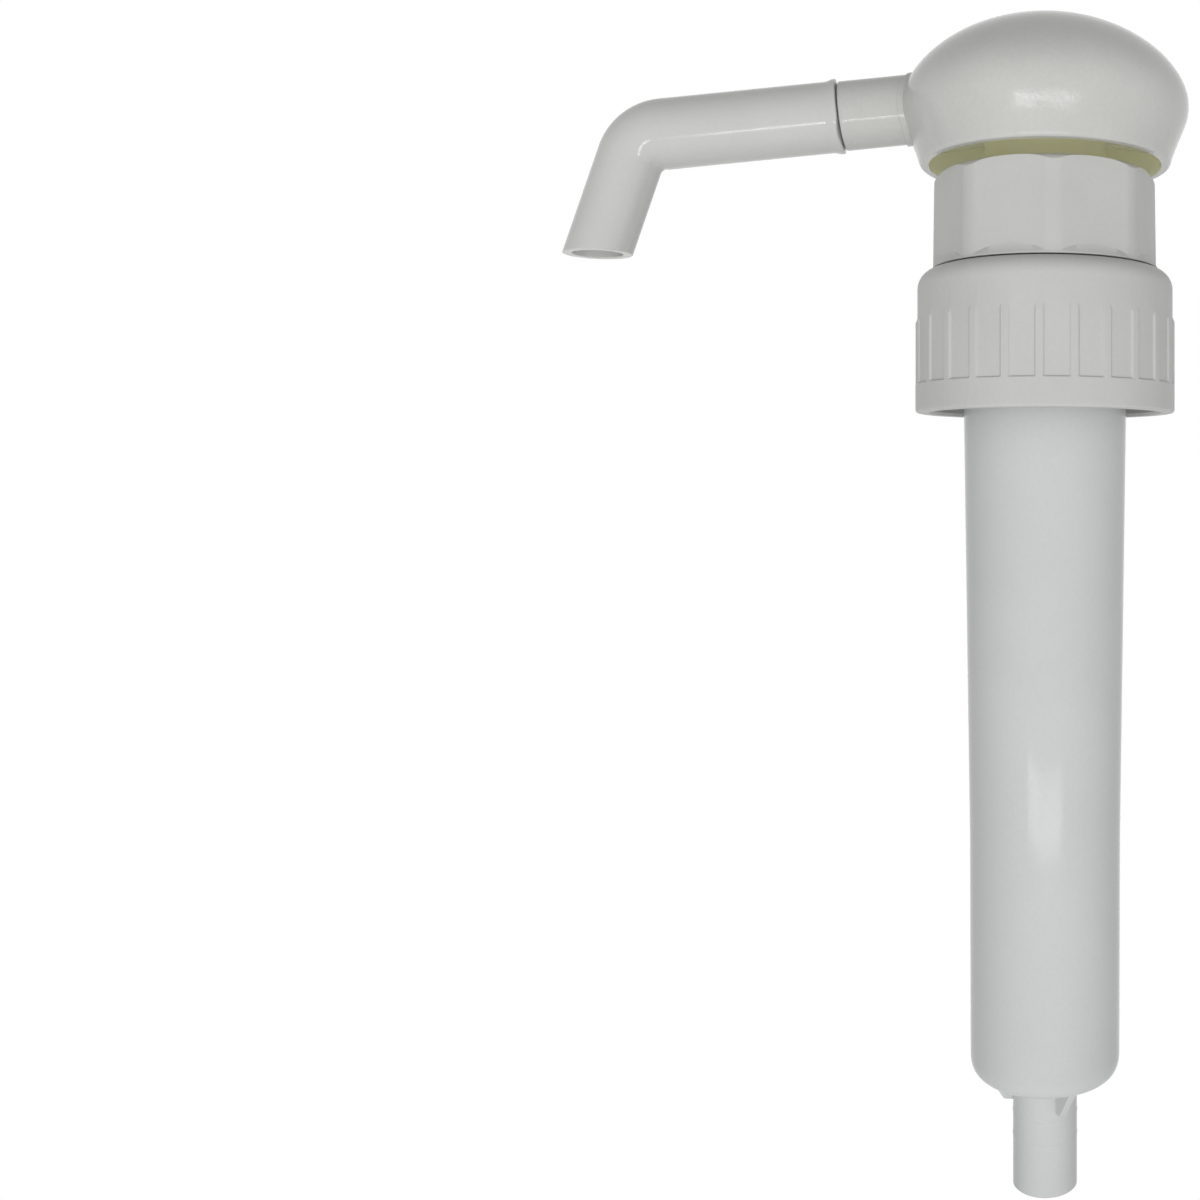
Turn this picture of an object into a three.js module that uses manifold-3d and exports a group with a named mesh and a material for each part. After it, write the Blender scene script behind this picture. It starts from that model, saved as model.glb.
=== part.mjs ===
// Hand pump for a canister with a 45 mm neck, in millimetres with +Z up.
// The origin lies on the pump's axis, in the plane where the gasket meets the neck's rim.
// The spout points to -X, and the head is pushed down and locked into its collar.
import * as THREE from "three";
import { mergeVertices } from "three/addons/utils/BufferGeometryUtils.js";
import Module from "manifold-3d";

// Clearances shared by the whole pump
const slideGap = 0.2;
const pressGap = 0.1;
const seatGap = 0.1;
const cutOver = 1;
const weldTolerance = 0.0001;

// Travel of the piston and of the two valve balls
const stroke = 52;
const suctionLift = 3;
const dischargeLift = 2.5;

// Screw cap: ribbed closure that takes a 45 mm neck
const capWall = 2.8;
const capRibHeight = 0.45;
const capTopThick = 2;
const capSkirtDrop = 22.1;
const capBandHeight = 5.7;
const capShoulderR = 3.8;
const capRimEdge = 0.6;
const capOpeningGap = 0.3;
const capRibLength = 13.5;
const capRibWidth = 1.9;
const capRibCrestShare = 0.7;
const capRibCount = 25;
const capRibTurnDeg = -92.3;

// Neck gasket: flat ring under the barrel's flange
const gasketThick = 2;
const gasketEdgeGap = 0.4;

// Barrel: flange, mouth, tapered tube, rounded bottom, gussets and spigot in one moulding
const boreR = 13.6;
const barrelTopWall = 2.95;
const barrelMidWall = 1.4;
const barrelEndWall = 1.27;
const barrelMidDrop = 106;
const barrelStraightDrop = 149.1;
const barrelRoundWidth = 3.14;
const barrelRoundDrop = 5.8;
const barrelBendRise = 1.57;
const barrelConeRise = 1.9;
const flangeThick = 1.9;
const flangeGrip = 3.1;
const flangeEdgeGap = 0.6;
const mouthHeight = 8.1;
const floorThick = 2.9;
const floorChamfer = 2;
const suctionSeatWidth = 0.7;
const suctionSeatDepth = 2.6;
const spigotR = 6.4;
const spigotLength = 20.7;
const spigotWall = 2.1;
const spigotEdge = 0.5;
const ventR = 1.25;
const ventDrop = 8;
const gussetCount = 3;
const gussetThick = 1.5;
const gussetReach = 6.9;
const gussetFoot = 1.8;
const gussetDrop = 4.3;
const gussetRoot = 2.6;
const gussetTurnDeg = -65;

// Stem and its guide in the barrel's mouth
const stemR = 6.5;
const stemWall = 2.3;
const stemFlangeWidth = 3;
const stemFlangeThick = 2;
const stemChamberWall = 1.5;
const stemChamberLength = 9.5;
const stemTail = 16.2;
const guideSealThick = 0.8;
const guideFlangeThick = 1.6;
const guideWebThick = 4.1;
const guideLength = 21.5;
const guideWall = 1.8;
const guideRimInset = 0.2;
const wiperWidth = 2.3;
const wiperThick = 2.4;

// Collar: octagon with rounded corners that runs out into a round flared foot
const collarHeight = 18.7;
const collarLedge = 2.45;
const collarCornerR = 5;
const collarTopInset = 0.25;
const collarTurnDeg = 4;
const collarRoundInset = 1.15;
const collarRoundDrop = 2.2;
const collarFlareHeight = 1.9;
const collarFlareLand = 0.35;
const collarSkirtWall = 1.8;
const collarTopThick = 2.3;
const collarTubeWall = 2.3;
const collarGroove = 2.15;
const collarThreadGap = 0.35;

// Head: hollow dome with boss, ribs and the stub that carries the spout
const headLift = 2;
const domeR = 28.6;
const domeRise = 17.4;
const domeSkirtHeight = 11.6;
const domeRimR = 24.4;
const domeLipThick = 1.2;
const domeWall = 2.2;
const bossWall = 2.8;
const bossSocketDepth = 22.8;
const headRibCount = 6;
const headRibThick = 1.6;
const lockScrewWall = 2.5;

// Stub and spout
const spoutAxisAboveEquator = 2.74;
const spoutDroopDeg = 5.7;
const spoutLegLeanDeg = 19;
const stubStep = 0.24;
const noseLength = 12;
const noseWall = 1.2;
const noseGap = 0.15;
const jointReach = 40.6;
const spoutArmR = 7;
const spoutDraft = 0.55;
const spoutWall = 2;
const spoutCornerReach = 81.4;
const spoutCornerDrop = 23.45;
const spoutInnerBendR = 0.85;
const spoutFlareWidth = 0.35;
const spoutFlareLength = 1.6;

// Piston set on the stem's lower end
const pistonLandGap = 0.8;
const pistonLandThick = 2;
const pistonHubWall = 3.3;
const pistonHubLength = 7.6;
const sealLipGap = 0.15;
const nutLandThick = 2.2;
const nutHubWall = 2.8;
const nutLength = 10.2;
const nutSeatInset = 0.2;
const nutSeatDepth = 2.2;
const dischargeBallGap = 1.1;
const dischargeCageWall = 0.75;
const dischargeBarThick = 1.5;
const dischargeBarWidth = 1.6;

// Spring, its slip ring and the suction valve
const springWireR = 0.9;
const springTurns = 12;
const springEndPitch = 2.5;
const springCapGap = 2.3;
const springCapThick = 2;
const springPilotLength = 6;
const springPilotWall = 1.6;
const suctionBallOverlap = 1.6;
const suctionBallGap = 0.68;
const cageEdgeGap = 0.3;
const cageFlangeThick = 2;
const cageWall = 1.1;
const cageRoofThick = 1.8;
const cageWindowWidth = 5;
const cageWindowPost = 1.2;

// Facet counts
const collarSides = 8;
const ventFacets = 8;
const domeFacets = 40;
const barrelFacets = 40;
const capFacets = 50;
const tubeFacets = 20;
const innerFacets = 24;
const bendSteps = 7;
const springSteps = 8;
const springSides = 5;
const ballSegments = 14;
const ballRings = 9;

// Radii, stacked outward from the stem to the screw cap
const stemSleeveR = stemR + pressGap;
const bossR = stemSleeveR + bossWall;
const lockScrewR = bossR + pressGap + lockScrewWall;
const collarThreadR = lockScrewR + collarThreadGap;
const collarTubeR = collarThreadR + collarTubeWall;
const collarBoreR = collarTubeR + collarGroove;
const collarPlugR = collarBoreR + collarSkirtWall;
const collarFlatR = collarPlugR + collarLedge;
const mouthR = collarBoreR - slideGap;
const capOpeningR = collarPlugR + capOpeningGap;
const flangeR = capOpeningR + flangeGrip;
const capThreadR = flangeR + flangeEdgeGap;
const capPanelR = capThreadR + capWall;
const capBandR = capPanelR + capRibHeight;

// Radii of the barrel and of what slides or seats in its bore
const barrelTopR = boreR + barrelTopWall;
const barrelMidR = boreR + barrelMidWall;
const barrelEndR = boreR + barrelEndWall;
const guidePlugR = boreR - slideGap;
const guideBoreR = stemR + slideGap;
const guideRimR = mouthR - guideRimInset;
const wiperR = stemR + pressGap + wiperWidth;
const stemBoreR = stemR - stemWall;
const stemChamberR = stemR - stemChamberWall;
const stemFlangeR = stemR + stemFlangeWidth;
const pistonR = boreR - pistonLandGap;
const pistonHubR = stemSleeveR + pistonHubWall;
const nutHubR = stemSleeveR + nutHubWall;
const nutSeatR = stemChamberR - nutSeatInset;
const nutBoreR = nutSeatR - nutSeatDepth;
const dischargeBallR = stemChamberR - dischargeBallGap;

// Radii of the spout, and outward from the spigot's bore to the spring
const spoutBoreR = spoutArmR - spoutWall;
const spoutEndR = spoutArmR - spoutDraft;
const spoutFlareR = spoutArmR + spoutFlareWidth;
const spoutBendR = spoutArmR + spoutInnerBendR;
const stubR = spoutArmR - stubStep;
const noseR = spoutBoreR - noseGap;
const stubBoreR = noseR - noseWall;
const spigotBoreR = spigotR - spigotWall;
const suctionBallR = spigotBoreR + suctionBallOverlap;
const suctionSeatR = suctionBallR + suctionSeatWidth;
const cageInnerR = suctionBallR + suctionBallGap;
const cageR = cageInnerR + cageWall;
const cageFlangeR = boreR - floorChamfer - cageEdgeGap;
const springPilotR = cageR;
const springMeanR = (cageR + slideGap + springWireR) / Math.cos(Math.PI / springSteps);
const springCapR = boreR - springCapGap;

// Heights along the axis, stacked up from the neck's rim
const flangeTopZ = gasketThick + flangeThick;
const capInnerTopZ = flangeTopZ + slideGap;
const capTopZ = capInnerTopZ + capTopThick;
const collarFootZ = capTopZ + slideGap;
const collarTopZ = collarFootZ + collarHeight;
const mouthTopZ = flangeTopZ + mouthHeight;
const guideFootZ = mouthTopZ + guideSealThick;
const guideTopZ = guideFootZ + guideFlangeThick;
const guideEndZ = mouthTopZ - guideLength;
const lockScrewZ = guideTopZ + slideGap;
const rimZ = collarTopZ + headLift;
const equatorZ = rimZ + domeSkirtHeight;
const apexZ = equatorZ + domeRise;
const spoutAxisZ = equatorZ + spoutAxisAboveEquator;
const droop = THREE.MathUtils.degToRad(spoutDroopDeg);
const stubFootZ = spoutAxisZ - stubR / Math.cos(droop) - lockScrewR * Math.tan(droop);
const lockScrewTopZ = stubFootZ - slideGap;
const stemTopZ = lockScrewZ + bossSocketDepth;

// Heights down the axis, below the neck's rim
const stemFlangeTopZ = guideEndZ - slideGap - stroke;
const pistonTopZ = stemFlangeTopZ - stemFlangeThick - pressGap;
const pistonEndZ = pistonTopZ - pistonLandThick - pistonHubLength;
const nutTopZ = pistonEndZ - pressGap;
const nutEndZ = nutTopZ - nutLength;
const stemEndZ = stemFlangeTopZ - stemFlangeThick - stemTail;
const dischargeSeatZ = stemEndZ - slideGap;
const springCapTopZ = nutEndZ - slideGap;
const springCapFootZ = springCapTopZ - springCapThick;
const barrelBottomZ = -barrelStraightDrop - barrelRoundDrop;
const floorZ = barrelBottomZ + floorThick;
const cageFootZ = floorZ + seatGap;
const cageFlangeTopZ = cageFootZ + cageFlangeThick;
const spigotEndZ = barrelBottomZ - spigotLength;

const wasm = await Module();
wasm.setup();

// A closed three.js geometry becomes a solid once only its welded positions are left.
function solidOf(geometry) {
  const bare = geometry.clone();
  bare.deleteAttribute("normal");
  bare.deleteAttribute("uv");
  const welded = mergeVertices(bare, weldTolerance);
  const corners = [];
  for (let i = 0; i < welded.index.count; i += 3) {
    const face = [0, 1, 2].map((k) => welded.index.getX(i + k));
    if (new Set(face).size === face.length) {
      corners.push(...face);
    }
  }
  const vertProperties = Float32Array.from(welded.attributes.position.array);
  const triVerts = Uint32Array.from(corners);
  return new wasm.Manifold(new wasm.Mesh({ numProp: 3, vertProperties, triVerts }));
}

function geometryOf(solid) {
  const mesh = solid.getMesh();
  const geometry = new THREE.BufferGeometry();
  geometry.setAttribute("position", new THREE.BufferAttribute(mesh.vertProperties, 3));
  geometry.setIndex(new THREE.BufferAttribute(mesh.triVerts, 1));
  geometry.computeVertexNormals();
  return geometry;
}

// A profile of [radius, height] corners, listed up its outer side, turned round the axis.
function turned(profile, facets) {
  const points = profile.map(([radius, height]) => new THREE.Vector2(radius, height));
  return solidOf(new THREE.LatheGeometry(points, facets).rotateX(Math.PI / 2));
}

function ring(innerR, outerR, lowZ, highZ, facets) {
  const low = [innerR, lowZ];
  return turned([low, [outerR, lowZ], [outerR, highZ], [innerR, highZ], low], facets);
}

function disc(radius, lowZ, highZ, facets) {
  return turned([[0, lowZ], [radius, lowZ], [radius, highZ], [0, highZ]], facets);
}

// A box given by its lowest and highest corner, turned about the axis.
function block(low, high, turn = 0) {
  const size = high.clone().sub(low);
  const geometry = new THREE.BoxGeometry(size.x, size.y, size.z);
  const centre = low.clone().add(high).divideScalar(2);
  geometry.translate(centre.x, centre.y, centre.z).rotateZ(turn);
  return solidOf(geometry);
}

// A round bar between two points in space.
function bar(start, end, radius, facets) {
  const along = end.clone().sub(start);
  const geometry = new THREE.CylinderGeometry(radius, radius, along.length(), facets);
  const up = new THREE.Vector3(0, 1, 0);
  const facing = new THREE.Quaternion().setFromUnitVectors(up, along.clone().normalize());
  const middle = start.clone().add(end).divideScalar(2);
  geometry.applyQuaternion(facing).translate(middle.x, middle.y, middle.z);
  return solidOf(geometry);
}

function roundSection(radius, sides) {
  const corner = (k) => {
    const angle = (2 * Math.PI * k) / sides;
    return new THREE.Vector2(radius * Math.cos(angle), radius * Math.sin(angle));
  };
  return new THREE.Shape(Array.from({ length: sides }, (_, k) => corner(k)));
}

function pathPoints(path, divisions) {
  return path.getPoints(divisions).map((point) => [point.x, point.y]);
}

// Height of a ball's centre when it lies a seat gap above a cone that narrows downwards.
function ballRestZ(ballR, mouthRadius, throatR, coneTopZ, coneDepth) {
  const run = mouthRadius - throatR;
  const slant = Math.hypot(run, coneDepth);
  const throatZ = coneTopZ - coneDepth;
  return throatZ + ((ballR + seatGap) * slant - throatR * coneDepth) / run;
}

// Screw cap: turned body with a raised bottom band, and narrow ribs that run up from that band.
function screwCap() {
  const bandTopZ = capBandHeight - capSkirtDrop;
  const path = new THREE.Path();
  path.moveTo(capThreadR, capRimEdge - capSkirtDrop);
  path.lineTo(capThreadR + capRimEdge, -capSkirtDrop);
  path.lineTo(capBandR - capRimEdge, -capSkirtDrop);
  path.absarc(capBandR - capRimEdge, capRimEdge - capSkirtDrop, capRimEdge, -Math.PI / 2, 0);
  path.lineTo(capBandR, bandTopZ - capRibHeight);
  path.lineTo(capPanelR, bandTopZ);
  path.absarc(capPanelR - capShoulderR, capTopZ - capShoulderR, capShoulderR, 0, Math.PI / 2);
  path.lineTo(capOpeningR, capTopZ);
  path.lineTo(capOpeningR, capInnerTopZ);
  path.lineTo(capThreadR, capInnerTopZ);
  path.lineTo(capThreadR, capRimEdge - capSkirtDrop);
  let cap = turned(pathPoints(path, 2), capFacets);
  const halfFoot = capRibWidth / 2;
  const halfCrest = halfFoot * capRibCrestShare;
  const rootR = capPanelR - capRibHeight;
  const section = new THREE.Shape([
    new THREE.Vector2(rootR, -halfFoot),
    new THREE.Vector2(capPanelR, -halfFoot),
    new THREE.Vector2(capBandR, -halfCrest),
    new THREE.Vector2(capBandR, halfCrest),
    new THREE.Vector2(capPanelR, halfFoot),
    new THREE.Vector2(rootR, halfFoot),
  ]);
  const ribFootZ = bandTopZ - capRibHeight;
  const rib = new THREE.ExtrudeGeometry(section, { depth: capRibLength, bevelEnabled: false });
  rib.translate(0, 0, ribFootZ);
  for (let k = 0; k < capRibCount; k += 1) {
    const turn = THREE.MathUtils.degToRad(capRibTurnDeg) + (2 * Math.PI * k) / capRibCount;
    cap = cap.add(solidOf(rib.clone().rotateZ(turn)));
  }
  return cap;
}

function neckGasket() {
  return ring(barrelTopR + slideGap, capThreadR - gasketEdgeGap, 0, gasketThick, barrelFacets);
}

// Barrel: one moulding from the mouth inside the collar down to the spigot.
function barrel() {
  const bottom = new THREE.Path();
  bottom.moveTo(0, spigotEndZ);
  bottom.lineTo(spigotR - spigotEdge, spigotEndZ);
  bottom.lineTo(spigotR, spigotEndZ + spigotEdge);
  bottom.lineTo(spigotR, barrelBottomZ);
  bottom.lineTo(barrelEndR - barrelRoundWidth, barrelBottomZ + barrelConeRise);
  bottom.quadraticCurveTo(barrelEndR, barrelBottomZ + barrelBendRise, barrelEndR, -barrelStraightDrop);
  bottom.lineTo(barrelMidR, -barrelMidDrop);
  bottom.lineTo(barrelTopR, gasketThick);
  bottom.lineTo(flangeR, gasketThick);
  bottom.lineTo(flangeR, flangeTopZ);
  bottom.lineTo(mouthR, flangeTopZ);
  bottom.lineTo(mouthR, mouthTopZ);
  bottom.lineTo(0, mouthTopZ);
  let solid = turned(pathPoints(bottom, 3), barrelFacets);
  for (let k = 0; k < gussetCount; k += 1) {
    const turn = THREE.MathUtils.degToRad(gussetTurnDeg) + (2 * Math.PI * k) / gussetCount;
    solid = solid.add(gusset(turn));
  }
  const hollow = [
    [0, spigotEndZ - cutOver],
    [spigotBoreR, spigotEndZ - cutOver],
    [spigotBoreR, floorZ - suctionSeatDepth],
    [suctionSeatR, floorZ],
    [boreR - floorChamfer, floorZ],
    [boreR, floorZ + floorChamfer],
    [boreR, mouthTopZ + cutOver],
    [0, mouthTopZ + cutOver],
  ];
  const ventStart = new THREE.Vector3(boreR - cutOver, 0, -ventDrop);
  const ventEnd = new THREE.Vector3(barrelTopR + cutOver, 0, -ventDrop);
  return solid.subtract(turned(hollow, barrelFacets)).subtract(bar(ventStart, ventEnd, ventR, ventFacets));
}

// A triangular web between the barrel's underside and the spigot.
function gusset(turn) {
  const web = new THREE.Shape();
  web.moveTo(spigotR - spigotEdge, barrelBottomZ + gussetRoot);
  web.lineTo(spigotR + gussetReach, barrelBottomZ + gussetRoot);
  web.lineTo(spigotR + gussetFoot, barrelBottomZ - gussetDrop);
  web.lineTo(spigotR - spigotEdge, barrelBottomZ - gussetDrop);
  const geometry = new THREE.ExtrudeGeometry(web, { depth: gussetThick, bevelEnabled: false });
  geometry.translate(0, 0, -gussetThick / 2).rotateX(Math.PI / 2).rotateZ(turn);
  return solidOf(geometry);
}

// Stem: hollow rod with the flange that meets the guide at the top of the stroke.
function stem() {
  const chamberTopZ = stemEndZ + stemChamberLength;
  const flangeFootZ = stemFlangeTopZ - stemFlangeThick;
  return turned(
    [
      [stemChamberR, stemEndZ],
      [stemR, stemEndZ],
      [stemR, flangeFootZ],
      [stemFlangeR, flangeFootZ],
      [stemFlangeR, stemFlangeTopZ],
      [stemR, stemFlangeTopZ],
      [stemR, stemTopZ],
      [stemBoreR, stemTopZ],
      [stemBoreR, chamberTopZ],
      [stemChamberR, chamberTopZ],
      [stemChamberR, stemEndZ],
    ],
    tubeFacets,
  );
}

// Stem guide: flanged bush with an inner and an outer tube, and a seat for the wiper.
function stemGuide() {
  const webZ = guideTopZ - guideWebThick;
  const grooveR = wiperR + pressGap;
  const grooveZ = guideTopZ - wiperThick - slideGap;
  return turned(
    [
      [guideBoreR, guideEndZ],
      [guideBoreR + guideWall, guideEndZ],
      [guideBoreR + guideWall, webZ],
      [guidePlugR - guideWall, webZ],
      [guidePlugR - guideWall, guideEndZ],
      [guidePlugR, guideEndZ],
      [guidePlugR, guideFootZ],
      [guideRimR, guideFootZ],
      [guideRimR, guideTopZ],
      [grooveR, guideTopZ],
      [grooveR, grooveZ],
      [guideBoreR, grooveZ],
      [guideBoreR, guideEndZ],
    ],
    innerFacets,
  );
}

function guideSeal() {
  return ring(guidePlugR + slideGap, guideRimR, mouthTopZ, guideFootZ, innerFacets);
}

function wiperRing() {
  const footZ = guideTopZ - wiperThick - pressGap;
  return ring(stemR + pressGap, wiperR, footZ, footZ + wiperThick, tubeFacets);
}

// Octagon with rounded corners, its first corner turned a little from the frame's X axis.
function octagon(flatR, cornerR) {
  const half = Math.PI / collarSides;
  const cornerCentreR = (flatR - cornerR) / Math.cos(half);
  const shape = new THREE.Shape();
  for (let k = 0; k < collarSides; k += 1) {
    const angle = THREE.MathUtils.degToRad(collarTurnDeg) + 2 * half * k;
    const x = cornerCentreR * Math.cos(angle);
    const y = cornerCentreR * Math.sin(angle);
    shape.absarc(x, y, cornerR, angle - half, angle + half);
  }
  return shape;
}

// Collar: a drafted octagon under a turned round shoulder, and a round flared foot, so each flat
// ends in an arch above and below.
function collar() {
  const cornerFarR = (collarFlatR - collarCornerR) / Math.cos(Math.PI / collarSides) + collarCornerR;
  const footR = cornerFarR / Math.cos(Math.PI / barrelFacets);
  const bendR = (collarFlatR + footR) / 2;
  const prism = new THREE.ExtrudeGeometry(octagon(collarFlatR, collarCornerR), {
    depth: collarHeight,
    bevelEnabled: false,
    curveSegments: 2,
  });
  const corners = prism.attributes.position;
  for (let i = 0; i < corners.count; i += 1) {
    const draft = 1 - (collarTopInset / collarFlatR) * (corners.getZ(i) / collarHeight);
    corners.setXY(i, corners.getX(i) * draft, corners.getY(i) * draft);
  }
  prism.translate(0, 0, collarFootZ);
  const shoulder = new THREE.Path();
  shoulder.moveTo(0, collarFootZ);
  shoulder.lineTo(footR, collarFootZ);
  shoulder.lineTo(footR, collarTopZ - collarRoundDrop);
  shoulder.quadraticCurveTo(bendR, collarTopZ, collarFlatR - collarRoundInset, collarTopZ);
  shoulder.lineTo(0, collarTopZ);
  const flare = new THREE.Path();
  flare.moveTo(0, collarFootZ);
  flare.lineTo(footR, collarFootZ);
  flare.lineTo(footR, collarFootZ + collarFlareLand);
  flare.quadraticCurveTo(
    collarFlatR,
    collarFootZ + collarFlareLand,
    collarFlatR - collarTopInset,
    collarFootZ + collarFlareLand + collarFlareHeight,
  );
  flare.lineTo(0, collarFootZ + collarFlareLand + collarFlareHeight);
  const tubeFootZ = guideTopZ + pressGap;
  const core = [
    [0, capInnerTopZ - cutOver],
    [collarBoreR, capInnerTopZ - cutOver],
    [collarBoreR, collarTopZ - collarTopThick],
    [collarTubeR, collarTopZ - collarTopThick],
    [collarTubeR, tubeFootZ],
    [0, tubeFootZ],
  ];
  return solidOf(prism)
    .intersect(turned(pathPoints(shoulder, 3), barrelFacets))
    .add(turned(pathPoints(flare, 3), barrelFacets))
    .add(disc(collarPlugR, capInnerTopZ, collarFootZ + cutOver, barrelFacets))
    .subtract(turned(core, innerFacets))
    .subtract(disc(collarThreadR, tubeFootZ - cutOver, collarTopZ + cutOver, innerFacets));
}

// Side of the dome from its rim to the axis: rounded lip, flaring skirt and pointed crown.
const domeShares = {
  lip: [0.15, 0],
  lipEnd: [0.2, 0.1],
  lower: [0.72, 0.66],
  upper: [1, 0.7],
  crownSide: 0.39,
  crownTop: 0.62,
};

function domeSide(path, edgeR, widestR, rise) {
  const at = ([across, up]) => [edgeR + across * (widestR - edgeR), rimZ + up * domeSkirtHeight];
  path.lineTo(edgeR, rimZ);
  path.quadraticCurveTo(...at(domeShares.lip), ...at(domeShares.lipEnd));
  path.bezierCurveTo(...at(domeShares.lower), ...at(domeShares.upper), widestR, equatorZ);
  const topZ = equatorZ + rise;
  const sideZ = equatorZ + domeShares.crownSide * rise;
  path.bezierCurveTo(widestR, sideZ, domeShares.crownTop * widestR, topZ, 0, topZ);
}

function domeBlank(edgeR, widestR, rise, divisions) {
  const path = new THREE.Path();
  path.moveTo(0, rimZ);
  domeSide(path, edgeR, widestR, rise);
  return turned(pathPoints(path, divisions), domeFacets);
}

// Point on the line that the stub and the spout's arm share, at a distance from the pump's axis.
const armDirection = new THREE.Vector3(-Math.cos(droop), 0, -Math.sin(droop));

function armPoint(reach) {
  const along = armDirection.clone().multiplyScalar(reach / Math.cos(droop));
  return new THREE.Vector3(0, 0, spoutAxisZ).add(along);
}

// Head: dome shell, boss with the stem's socket, ribs, and a stub with a nose inside the spout.
function head() {
  const blank = domeBlank(domeRimR, domeR, domeRise, 5);
  const hollow = domeBlank(domeRimR - domeLipThick, domeR - domeWall, domeRise - domeWall, 3);
  const under = disc(domeRimR - domeLipThick, rimZ - cutOver, rimZ + cutOver, domeFacets);
  let inside = disc(bossR, lockScrewZ, apexZ, innerFacets);
  for (let k = 0; k < headRibCount; k += 1) {
    const turn = (2 * Math.PI * (k + 1 / 2)) / headRibCount;
    const low = new THREE.Vector3(0, -headRibThick / 2, lockScrewTopZ + pressGap);
    const high = new THREE.Vector3(domeR, headRibThick / 2, apexZ);
    inside = inside.add(block(low, high, turn));
  }
  const shoulder = jointReach - pressGap;
  const stub = bar(armPoint(0), armPoint(shoulder), stubR, tubeFacets);
  const nose = bar(armPoint(0), armPoint(jointReach + noseLength), noseR, tubeFacets);
  const channelEnd = armPoint(jointReach + noseLength + cutOver);
  const channel = bar(armPoint(0), channelEnd, stubBoreR, tubeFacets);
  const bossBelowRim = disc(bossR, lockScrewZ, rimZ + cutOver, innerFacets);
  return blank
    .subtract(hollow)
    .subtract(under)
    .add(inside.intersect(blank))
    .add(bossBelowRim)
    .add(stub)
    .add(nose)
    .subtract(channel)
    .subtract(disc(stemBoreR, lockScrewZ, spoutAxisZ, tubeFacets))
    .subtract(disc(stemSleeveR, lockScrewZ - cutOver, stemTopZ + slideGap, tubeFacets));
}

function lockScrew() {
  return ring(bossR + pressGap, lockScrewR, lockScrewZ, lockScrewTopZ, innerFacets);
}

// Centre line of the spout: straight arm, round bend, straight leg, with a step count for each.
class SpoutLine extends THREE.Curve {
  constructor(start, corner, end) {
    super();
    const arm = corner.clone().sub(start).normalize();
    const leg = end.clone().sub(corner).normalize();
    this.turn = arm.angleTo(leg);
    const tangentLength = spoutBendR * Math.tan(this.turn / 2);
    this.start = start;
    this.bendStart = corner.clone().addScaledVector(arm, -tangentLength);
    this.bendEnd = corner.clone().addScaledVector(leg, tangentLength);
    this.end = end;
    this.arm = arm;
    this.leg = leg;
    this.inward = leg.clone().addScaledVector(arm, -leg.dot(arm)).normalize();
  }

  getPoint(t) {
    const step = t * (bendSteps + 2);
    if (step <= 1) {
      return this.start.clone().lerp(this.bendStart, step);
    }
    if (step >= bendSteps + 1) {
      return this.bendEnd.clone().lerp(this.end, step - bendSteps - 1);
    }
    const angle = (this.turn * (step - 1)) / bendSteps;
    return this.bendStart
      .clone()
      .addScaledVector(this.arm, spoutBendR * Math.sin(angle))
      .addScaledVector(this.inward, spoutBendR * (1 - Math.cos(angle)));
  }

  getTangent(t) {
    const step = THREE.MathUtils.clamp(t * (bendSteps + 2), 1, bendSteps + 1);
    const angle = (this.turn * (step - 1)) / bendSteps;
    const along = this.arm.clone().multiplyScalar(Math.cos(angle));
    return along.addScaledVector(this.inward, Math.sin(angle));
  }

  getPointAt(u) {
    return this.getPoint(u);
  }

  getTangentAt(u) {
    return this.getTangent(u);
  }

  // The centre line's point beside a corner of the tube, and the share of the bend passed there.
  beside(corner) {
    const before = corner.clone().sub(this.bendStart).dot(this.arm);
    if (before <= 0) {
      return { centre: this.bendStart.clone().addScaledVector(this.arm, before), share: 0 };
    }
    const down = corner.clone().sub(this.bendEnd).dot(this.leg);
    if (down >= 0) {
      return { centre: this.bendEnd.clone().addScaledVector(this.leg, down), share: 1 };
    }
    const middle = this.bendStart.clone().addScaledVector(this.inward, spoutBendR);
    const spoke = corner.clone().sub(middle);
    const angle = Math.atan2(spoke.dot(this.arm), -spoke.dot(this.inward));
    const centre = middle
      .addScaledVector(this.arm, spoutBendR * Math.sin(angle))
      .addScaledVector(this.inward, -spoutBendR * Math.cos(angle));
    return { centre, share: angle / this.turn };
  }
}

// A round bar along the spout's line that narrows round the bend by a share of its radius.
function spoutBar(line, radius, narrowShare) {
  const section = roundSection(radius, tubeFacets);
  const settings = { steps: bendSteps + 2, extrudePath: line, bevelEnabled: false };
  const geometry = new THREE.ExtrudeGeometry(section, settings);
  const corners = geometry.attributes.position;
  const corner = new THREE.Vector3();
  for (let i = 0; i < corners.count; i += 1) {
    corner.fromBufferAttribute(corners, i);
    const { centre, share } = line.beside(corner);
    corner.sub(centre).multiplyScalar(1 - narrowShare * share).add(centre);
    corners.setXYZ(i, corner.x, corner.y, corner.z);
  }
  return solidOf(geometry);
}

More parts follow.
